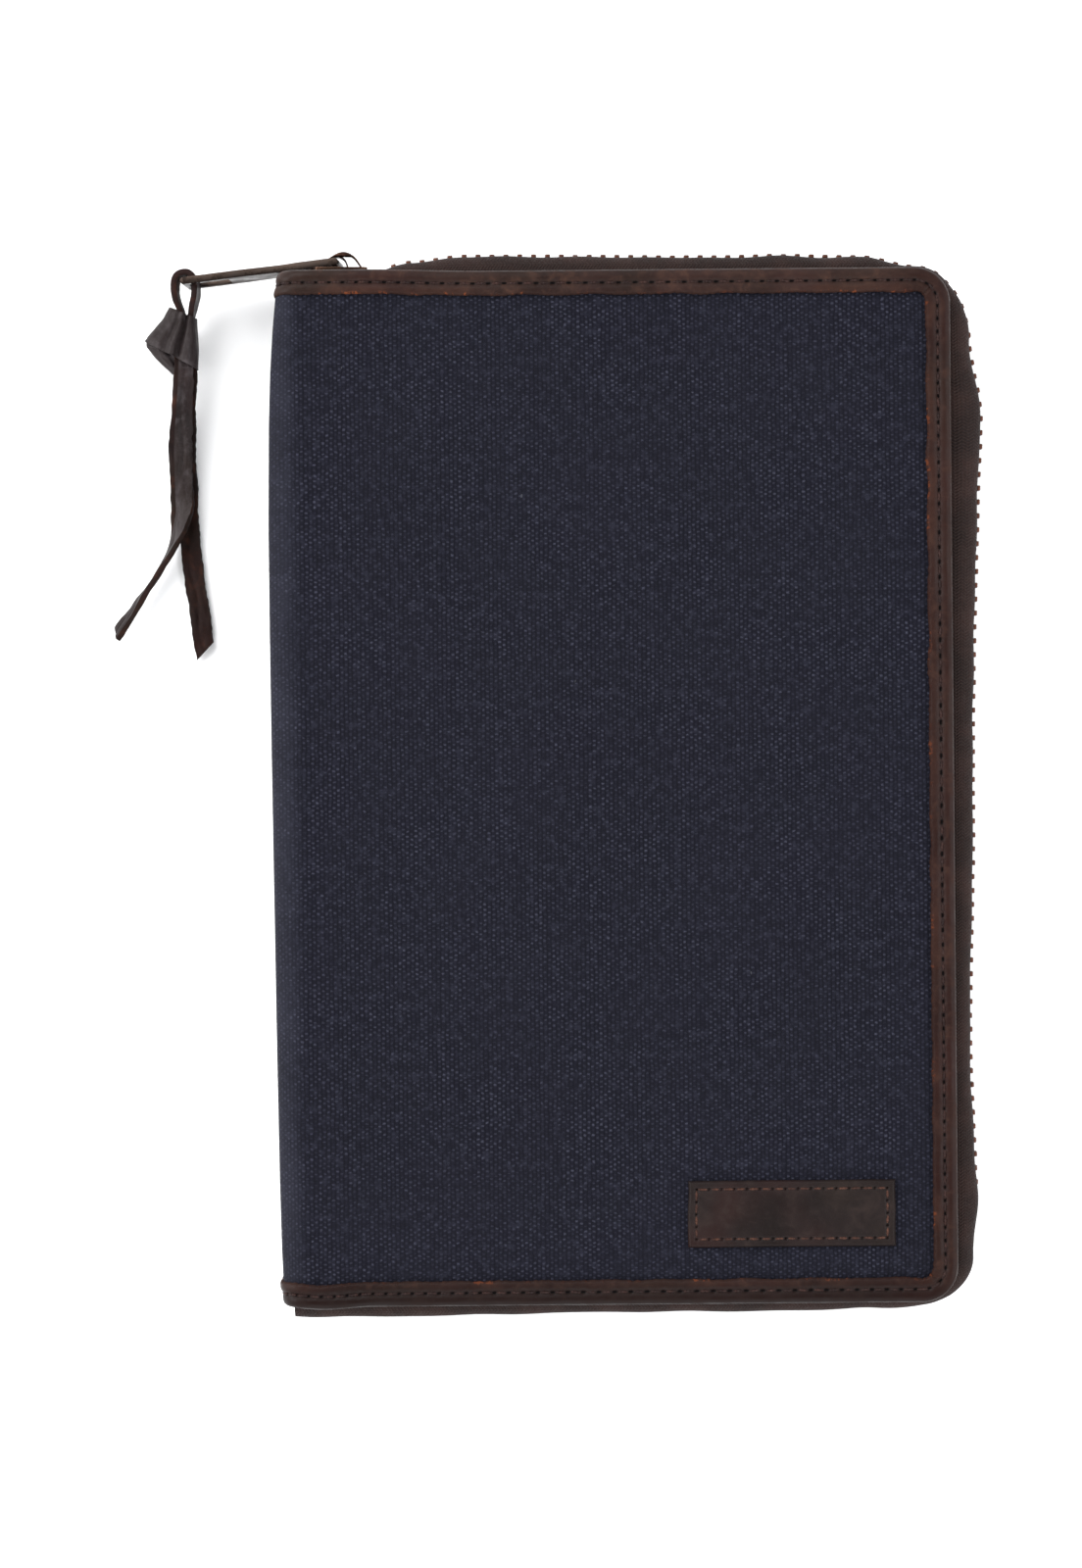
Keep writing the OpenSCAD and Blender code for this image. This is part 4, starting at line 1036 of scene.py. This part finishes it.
def path_point(s):
    """Point on the outline grown by PATH_OUT and its outward angle."""
    s = np.asarray(s, float)
    r = CORNER_R + PATH_OUT
    e = np.cumsum([TOP_LEN, ARC, SIDE_LEN, ARC])
    angle = np.select([s < e[0], s < e[1], s < e[2], s < e[3]],
                      [math.pi / 2, math.pi / 2 * (1 - (s - e[0]) / ARC), 0, -math.pi / 2 * (s - e[2]) / ARC],
                      -math.pi / 2)
    cx = np.select([s < e[0], s < e[3]], [TAPE_START + s, CORNER_X], CORNER_X - (s - e[3]))
    cy = np.select([s < e[1], s < e[2]], [CORNER_Y, CORNER_Y - (s - e[1])], -CORNER_Y)
    return cx + r * np.cos(angle), cy + r * np.sin(angle), angle


def standoff_at(s):
    """How far the chain's outer side stands off the covers' edge in the CAD, at length s along the path."""
    k = np.clip(np.searchsorted(STANDOFF[:, 0], s, side="right") - 1, 0, len(STANDOFF) - 2)
    a, b = STANDOFF[k], STANDOFF[k + 1]
    t = np.clip((s - a[..., 0]) / (b[..., 0] - a[..., 0]), 0, 1)
    return a[..., 1] + (b[..., 1] - a[..., 1]) * t * t * (3 - 2 * t)


# How far the sewn zip sits nearer to the covers than the CAD's path, along the path
DRAWN = np.array([
    (0, 0), (82, 0), (90, -0.15), (98, -0.4), (106, -0.5), (112, -0.45), (116, -0.3), (119, -0.1), (122, 0.1),
    (126, 0.25), (130, 0.2), (134, -0.05), (138, -0.22), (142, -0.28), (148, -0.25), (156, -0.2),
    (163, 0.05), (172, 0.3), (190, 0.4), (200, 0.6), (212, 0.75), (306, 0.8), (316, 0.65), (324, 0.15),
    (331, 0.25), (342, 0.75), (500, 0.75)])


def chain_out(s, lean):
    """Distance of a row's middle from the covers' edge. lean is 1 for the back row, which is nearer."""
    share = np.clip((s - SLIDER_ZONE) / (LEAN_END - SLIDER_ZONE), 0, 1)
    drawn_in = np.interp(s, DRAWN[:, 0], DRAWN[:, 1]) * smooth01((PATH_LEN - s) / 60)
    return standoff_at(s) - CHAIN_T / 2 - lean * CHAIN_LEAN * share - drawn_in


def chain_pos(s, lean):
    x, y, a = path_point(s)
    d = chain_out(s, lean) - PATH_OUT
    return x + d * np.cos(a), y + d * np.sin(a)


# How far the tape runs on past the path's end
TUCK = 5.2


def pucker(s):
    """How far the tape bellies out over the chain: most round the corners and all along the bottom."""
    corner = smooth01((s - 110) / 10) * smooth01((144 - s) / 14)
    low = smooth01((s - 296) / 12)
    return 0.3 + np.maximum(0.2 * corner, 0.75 * low) + 0.1 * waves(s, 13, 83)


def tape(name, lean, front):
    """One side of the zip tape, from the flange sewn under the cover to its edge at the chain."""
    s = np.linspace(0, PATH_LEN + TUCK, int(PATH_LEN / 0.9))
    c = chain_out(s, lean)
    u1 = np.minimum(-0.6, c - 1.5)
    z0 = STACK_T + TAPE_T / 2
    gap = TAPE_EDGE + (TAPE_MOUTH - TAPE_EDGE) * np.clip(1 - s / MOUTH_S, 0, 1)
    gap = gap + (0.12 - gap) * smooth01((s - PATH_LEN + TOOTH_GAP_END) / 1.3)
    a, b = np.stack([u1, z0 + 0 * s], -1), np.stack([u1 + 0.6 * (c - u1), z0 + 0 * s], -1)
    d, e = np.stack([c, 6.3 + 0 * s], -1), np.stack([c, 8.4 + 0 * s], -1)
    line = [np.stack([-FLANGE_IN + 0 * s, z0 + 0 * s], -1), np.stack([-3 + 0 * s, z0 + 0 * s], -1)]
    for t in np.linspace(0, 1, 11):
        line.append(a * (1 - t) ** 3 + 3 * b * t * (1 - t) ** 2 + 3 * d * t * t * (1 - t) + e * t ** 3)
    top = MID_Z - gap
    line.append(np.stack([c, (8.4 + top) / 2], -1))
    line.append(np.stack([c, top - 0.5], -1))
    line.append(np.stack([c, top], -1))
    line = np.stack(line, 1)
    rise = np.clip((line[..., 1] - z0) / (top - z0)[:, None], 0, 1)
    line[..., 0] += pucker(s)[:, None] * np.sin(rise ** 0.8 * math.pi * 0.86)
    direction = unit(np.gradient(line, axis=1))
    normal = np.stack([-direction[..., 1], direction[..., 0]], -1)
    half = np.full(line.shape[1], TAPE_T / 2)
    half[-3:] = (0.34, 0.42, 0.36)
    rough = 0.05 * waves2(s[:, None], line[..., 1] * 2, 6, 81)
    ring = np.concatenate([line + normal * (half[None, :, None] + rough[..., None]),
                           (line - normal * half[None, :, None])[:, ::-1]], 1)
    x, y, angle = path_point(s)
    u = ring[..., 0] - PATH_OUT
    pts = np.stack([x[:, None] + u * np.cos(angle)[:, None], y[:, None] + u * np.sin(angle)[:, None],
                    ring[..., 1]], -1)
    v = lengths(ring[len(s) // 2])
    return swept(name, flip_front(pts) if front else pts, s, v, [TAPE], angle=50)


def tooth_outline():
    """A tooth seen along the chain: two jaws on the tape, shoulders and a rounded head with a nib."""
    half = [(0.46, -2.75), (0.58, -2.98), (0.9, -3.0), (1.12, -2.85), (1.2, -2.5), (1.2, -0.75), (1.16, -0.4),
            (0.92, -0.08), (0.8, 0.15), (0.8, 0.8), (0.7, 1.12), (0.4, 1.3)]
    inner = [(0.45, -1.5), (0.3, -1.36)]
    right = [inner[1], inner[0]] + half
    return np.array(right + [(-x, y) for x, y in right[::-1]])


def teeth(name, shift, lean, front):
    """One row of teeth. shift moves it along by a share of the pitch, so that the two rows interlock."""
    outline = tooth_outline()
    centre = outline.mean(0)
    layers = [(-0.5, 0.9), (-0.42, 0.985), (-0.25, 1.0), (0.25, 1.0), (0.42, 0.985), (0.5, 0.9)]
    n = len(outline)
    one = np.array([[(centre[0] + (x - centre[0]) * k, centre[1] + (y - centre[1]) * k, w * TOOTH_W)
                     for x, y in outline] for w, k in layers])
    s = FIRST_TOOTH + (np.arange(TOOTH_COUNT) + shift) * TOOTH_PITCH
    x, y = chain_pos(s, lean)
    xa, ya = chain_pos(s - 0.5, lean)
    xb, yb = chain_pos(s + 0.5, lean)
    run = unit(np.stack([xb - xa, yb - ya], -1))
    rng = np.random.default_rng(300 if front else 400)
    co, faces = [], []
    for k in range(TOOTH_COUNT):
        along = np.array([run[k, 0], run[k, 1], 0])
        out = np.array([-run[k, 1], run[k, 0], 0])
        push = rng.normal(0, 0.03)
        p = (np.array([x[k], y[k], MID_Z]) + (one[..., 0:1] + push) * out
             + one[..., 1:2] * np.array([0, 0, 1.0]) + one[..., 2:3] * along)
        faces += capped_faces(len(layers), n, k * n * len(layers))
        co.append(p.reshape(-1, 3))
    co = np.concatenate(co)
    return new_object(name, flip_front(co) if front else co, faces, None, [TEETH], angle=40)


for front in (True, False):
    side = "front" if front else "back"
    lean, shift = (0, 0.5) if front else (1, 0)
    sewn = tape("zip_tape_" + side + "_cloth", lean, front)
    row = teeth("zip_teeth_" + side + "_row", shift, lean, front)
    for ob, node, finish in ((sewn, "zip_tape_" + side, "zip_tape"), (row, "zip_teeth_" + side, "zip_metal")):
        cloth = finish == "zip_tape"
        if front:
            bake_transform(ob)
        else:
            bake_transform(ob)
        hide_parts(node)


# ---------------------------------------------------------------- metal pieces with softened edges
WELD = 1e-6
SHARP_EDGE = math.radians(28)


def metal_piece(name, node, mesh, material, body, smooth_below):
    """Finishes a mesh as a smooth metal piece that replaces a CAD node."""
    mesh.materials.clear()
    mesh.materials.append(material)
    mesh.shade_smooth()
    mesh.set_sharp_from_angle(angle=math.radians(smooth_below))
    return placed(linked(name, mesh), body, node)


def softened(node, name, material, width, body):
    """A copy of a CAD metal piece with its sharp edges rounded, which replaces it."""
    mesh = nodes[node].data.copy()
    mesh.name = name

    def round_edges(bm):
        bmesh.ops.remove_doubles(bm, verts=bm.verts, dist=WELD)
        bmesh.ops.dissolve_limit(bm, angle_limit=math.radians(1.0), verts=bm.verts, edges=bm.edges)
        outwards(bm)
        sharp = [e for e in bm.edges if len(e.link_faces) == 2 and e.calc_face_angle(0) > SHARP_EDGE]
        bmesh.ops.bevel(bm, geom=sharp, offset=width * MM, segments=3, profile=0.6, affect="EDGES",
                        clamp_overlap=True, offset_type="OFFSET")

    reworked(mesh, round_edges)
    return metal_piece(name, node, mesh, material, body, 40)


def arch(node, name, outline, opening, width, bevel, material, body):
    """A bent strip of metal seen as an arch: a filled outline with a rounded opening and soft edges."""
    data = bpy.data.curves.new(name, "CURVE")
    data.dimensions = "2D"
    data.fill_mode = "BOTH"
    data.extrude = (width / 2 - bevel) * MM
    data.bevel_depth = bevel * MM
    data.bevel_resolution = 2
    data.offset = -bevel * MM
    for points in (outline, opening):
        rounded, _ = curve_points([[x, y, 0] for x, y in points], 0.25)
        spline = data.splines.new("POLY")
        spline.points.add(len(rounded) - 1)
        for point, at in zip(spline.points, rounded):
            point.co = (at[0] * MM, at[1] * MM, 0, 1)
        spline.use_cyclic_u = True
    shape = linked(name + "_shape", data)
    bpy.context.view_layer.update()
    mesh = bpy.data.meshes.new_from_object(shape.evaluated_get(bpy.context.evaluated_depsgraph_get()))
    bpy.data.objects.remove(shape)
    mesh.name = name
    mesh.transform(Matrix.Translation((0, 0, MID_Z * MM)))

    def weld(bm):
        bmesh.ops.remove_doubles(bm, verts=bm.verts, dist=WELD)
        outwards(bm)

    reworked(mesh, weld)
    return metal_piece(name, node, mesh, material, body, 35)


CROWN_OUTLINE = [(-58.5, 100.7), (-57.3, 101.6), (-55.4, 102.9), (-53.7, 103.95), (-52.4, 104.35),
                 (-51.1, 104.1), (-49.9, 103.25), (-49.0, 102.0), (-48.2, 100.7)]
CROWN_OPENING = [(-55.5, 100.9), (-55.4, 101.9), (-54.7, 102.9), (-53.5, 103.35), (-52.3, 102.9),
                 (-51.7, 101.9), (-51.6, 100.9)]
PULLER_LOWERED, PULLER_TURN = 0.3, math.radians(1.5)
softened("slider_body", "zip_slider", SLIDER, 0.16, "slider")
arch("slider_crown", "zip_slider_crown", CROWN_OUTLINE, CROWN_OPENING, 3.4, 0.3, SLIDER, "slider")
bar = softened("zip_puller", "zip_puller_bar", PULLER, 0.22, "puller")
PIVOT = Vector((-53.5, 102.45, MID_Z)) * MM
bar.data.transform(Matrix.Translation(PIVOT + Vector((0, -PULLER_LOWERED, 0)) * MM)
                   @ Matrix.Rotation(PULLER_TURN, 4, "Z") @ Matrix.Translation(-PIVOT))
softened("zip_bottom_stop", "zip_bottom_clip", TEETH, 0.14, "spine")
softened("top_stop_front", "zip_top_clip_front", TEETH, 0.1, "front_cover")
softened("top_stop_back", "zip_top_clip_back", TEETH, 0.1, "back_cover")


# ---------------------------------------------------------------- inner pockets
def with_ends(a, b, n):
    """Even steps from a to b, with more of them close to both ends."""
    return np.unique(np.concatenate([[a, a + 0.1, a + 0.3, b - 0.3, b - 0.1, b], np.linspace(a, b, n)]))


def pocket(name, node, x0, x1, y0, y1, z, thick, front, mouth, material, seed, rounded=False,
           puff=0.25, hem=7.0):
    """A flat cloth pocket face with a folded hem at its mouth: "left" or "top".

    rounded follows the cover's corners on the right.
    """
    nx, ny = max(24, int((x1 - x0) / 1.1)), max(24, int((y1 - y0) / 1.1))
    X, Y = np.meshgrid(with_ends(x0, x1, nx), with_ends(y0, y1, ny), indexing="ij")
    from_mouth = (X - x0) if mouth == "left" else (y1 - Y)
    sides = np.minimum(np.minimum(X - x0, x1 - X), np.minimum(Y - y0, y1 - Y))
    inside = smooth01(sides / 14)
    out = thick - 0.22 * smooth01(1 - sides / 0.45) ** 2
    out = out + 0.14 * smooth01((hem - from_mouth) / 0.5)
    out = out + puff * inside * (0.5 + 0.25 * waves2(X, Y, 45, seed))
    out = out - 0.16 * bump(from_mouth - hem + 1.0, 0.6) - 0.14 * bump(sides - 1.8, 0.6)
    out = out + 0.03 * waves2(X, Y, 5, seed + 1) * smooth01(sides / 2)
    if rounded:
        limit = right_limit(Y, HALF_W - x1)
        X = np.where(X > 40, 40 + (X - 40) * (np.minimum(limit, x1) - 40) / (x1 - 40), X)
    top = np.stack([X, Y, z + out], -1)
    bottom = np.stack([X, Y, z + 0 * out + 0.02], -1)
    if front:
        top, bottom = flip_front(top), flip_front(bottom)
    ob = slab(name, top, bottom, np.stack([X, Y], -1), [material], angle=60)
    placed(ob, "front_cover" if front else "back_cover", node)


def rows_of_stitches(lines, pitch):
    """Evenly spaced stitch centres and directions along straight lines."""
    c, d = [], []
    for a, b in lines:
        a, b = np.array(a, float), np.array(b, float)
        n = max(1, int(np.linalg.norm(b - a) / pitch))
        for k in range(n):
            c.append(a + (b - a) * (k + 0.5) / n)
            d.append(b - a)
    return np.array(c), np.array(d)


def pocket_threads(name, lines, front):
    c, d = rows_of_stitches(lines, 3.2)
    up = np.tile([0, 0, 1.0], (len(c), 1))
    if front:
        c, d, up = flip_front(c), d * [1, 1, -1], -up
    ob = stitches(name, c, d, up, 2.2, 0.4, 0.26, THREAD, 0.2)
    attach(ob, "front_cover" if front else "back_cover")


INNER_Z = 3.8
LAYER_T = 0.7
for name, front, seed in (("document_pocket", False, 501), ("slip_pocket", True, 511)):
    pocket(name + "_cloth", name, -46, 61, -94, 94, INNER_Z, LAYER_T, front, "left", POCKET, seed, True)
card_lines = []
for k in range(4):
    y1 = 86 - 13 * k
    z = INNER_Z + LAYER_T * (k + 1)
    name = f"card_pocket_{k + 1}"
    pocket(name + "_cloth", name, -40, 52, -11, y1, z, LAYER_T, True, "top", POCKET, 521 + 7 * k,
           puff=0.0, hem=4.0)
    card_lines.append([(-38.5, y1 - 3.0, z + 0.72), (50.5, y1 - 3.0, z + 0.72)])
z = INNER_Z + LAYER_T * 5
card_lines += [[(-38.4, -9.2, z - 0.1), (50.4, -9.2, z - 0.1)],
               [(-38.4, -9.2, z - 0.1), (-38.4, 45, z - 0.1)],
               [(50.4, -9.2, z - 0.1), (50.4, 45, z - 0.1)]]
card_lines.append([(-40.0, -92.3, INNER_Z + 0.62), (-40.0, 92.3, INNER_Z + 0.62)])
pocket_threads("pocket_threads_front", card_lines, True)

PASS_X0, PASS_X1, PASS_Y0, PASS_Y1, PASS_Z = -43.0, 53.0, -87.8, 31.2, 4.5
pocket("passport_panel_cloth", "passport_panel", PASS_X0, PASS_X1, PASS_Y0, PASS_Y1, PASS_Z + 4.8, 0.9,
       False, "top", POCKET, 541, puff=0.35, hem=6.0)
pocket("passport_trim_leather", "passport_trim", PASS_X0, PASS_X1, PASS_Y1 - 6, PASS_Y1, PASS_Z + 5.9, 0.7,
       False, "top", TRIM_LEATHER, 551, puff=0.0, hem=0.0)
pocket_threads("pocket_threads_back", [
    [(PASS_X0 + 1.5, 26.6, 11.05), (PASS_X1 - 1.5, 26.6, 11.05)],
    [(PASS_X0 + 1.8, -86, 10.15), (PASS_X0 + 1.8, 24, 10.15)],
    [(PASS_X1 - 1.8, -86, 10.15), (PASS_X1 - 1.8, 24, 10.15)],
    [(PASS_X0 + 1.8, -86, 10.15), (PASS_X1 - 1.8, -86, 10.15)],
    [(-40.0, -92.3, 4.42), (-40.0, 92.3, 4.42)]], False)

GUSSET_H = 4.75
gusset_line, gusset_s = curve_points(
    [(PASS_X0 + 0.5, PASS_Y1, 0), (PASS_X0 + 0.5, 0, 0), (PASS_X0 + 0.5, -60, 0), (PASS_X0 + 0.5, -84.5, 0),
     (PASS_X0 + 1.4, -86.4, 0), (PASS_X0 + 3.3, -87.3, 0), (-20, -87.3, 0), (30, -87.3, 0),
     (PASS_X1 - 3.3, -87.3, 0), (PASS_X1 - 1.4, -86.4, 0), (PASS_X1 - 0.5, -84.5, 0),
     (PASS_X1 - 0.5, -60, 0), (PASS_X1 - 0.5, 0, 0), (PASS_X1 - 0.5, PASS_Y1, 0)], 1.2)
gusset_d = unit(np.gradient(gusset_line, axis=0))
gusset_n = np.stack([gusset_d[:, 1], -gusset_d[:, 0], 0 * gusset_d[:, 0]], -1)
heights = np.linspace(0, 1, 13)
pleat = -0.75 * np.sin(heights * math.pi) ** 2 + 0.35
outer = [(p, h) for p, h in zip(pleat, heights)]
inner = [(p - 0.55, h) for p, h in zip(pleat[::-1], heights[::-1])]
ring = np.array(outer + inner)
ripple = 0.12 * waves(gusset_s, 14, 61)[:, None] * np.sin(ring[None, :, 1] * math.pi)
gusset_pts = gusset_line[:, None] + gusset_n[:, None] * (ring[None, :, 0] + ripple)[..., None]
gusset_pts[..., 2] = PASS_Z + 0.05 + ring[None, :, 1] * GUSSET_H
gusset_v = lengths(ring * [1, GUSSET_H])
gusset = swept("passport_gusset_cloth", gusset_pts, gusset_s, gusset_v, [POCKET], angle=50)
placed(gusset, "back_cover", "passport_gusset")

# ---------------------------------------------------------------- floor, light
floor_mat = Graph("pale_floor", Specular_IOR_Level=0.2)
floor_noise = floor_mat.noise(floor_mat.object_mm(), 300.0, 2)
floor_mat.finish(floor_mat.mix(floor_noise, (0.93, 0.93, 0.93), (0.95, 0.95, 0.95)), 0.9)
FLOOR_HALF, FLOOR_Z = 2500, -0.3
floor_corners = [(x * FLOOR_HALF, y * FLOOR_HALF, FLOOR_Z) for x, y in ((-1, -1), (1, -1), (1, 1), (-1, 1))]
floor = new_object("floor", floor_corners, [(0, 1, 2, 3)], None, [floor_mat.mat], recalc=False, angle=0)

world = bpy.data.worlds.new("studio")
world.use_nodes = True
sky = world.node_tree
height = sky.nodes.new("ShaderNodeSeparateXYZ")
sky.links.new(sky.nodes.new("ShaderNodeTexCoord").outputs["Generated"], height.inputs[0])
level = sky.nodes.new("ShaderNodeMapRange")
for socket, value in zip(level.inputs, (None, 0.8, 0.96, 1.2, 0.3)):
    if value is None:
        sky.links.new(height.outputs[2], socket)
    else:
        socket.default_value = value
sky.links.new(level.outputs[0], sky.nodes["Background"].inputs[1])
sky.nodes["Background"].inputs[0].default_value = (0.97, 0.98, 1.0, 1)
bpy.context.scene.world = world
bpy.context.scene.view_settings.view_transform = "Standard"


def soft_light(name, place, aim, size, watts, color=(1, 1, 1)):
    data = bpy.data.lights.new(name, "AREA")
    data.shape, data.size, data.size_y = "RECTANGLE", size[0], size[1]
    data.energy, data.color = watts, color
    ob = linked(name, data)
    ob.location = place
    ob.rotation_euler = (Vector(aim) - Vector(place)).to_track_quat("-Z", "Y").to_euler()


soft_light("key", (-0.55, 0.75, 0.9), (0, 0, 0), (0.8, 0.8), 15.0)
soft_light("fill", (0.85, -0.1, 0.7), (0, 0, 0), (0.9, 0.9), 10.5, (0.96, 0.98, 1.0))
soft_light("left", (-1.0, 0.05, 0.42), (-0.07, 0.03, 0), (0.6, 0.5), 9.0)
soft_light("front", (0.0, -0.9, 0.55), (0, 0, 0), (1.0, 0.6), 6.0)
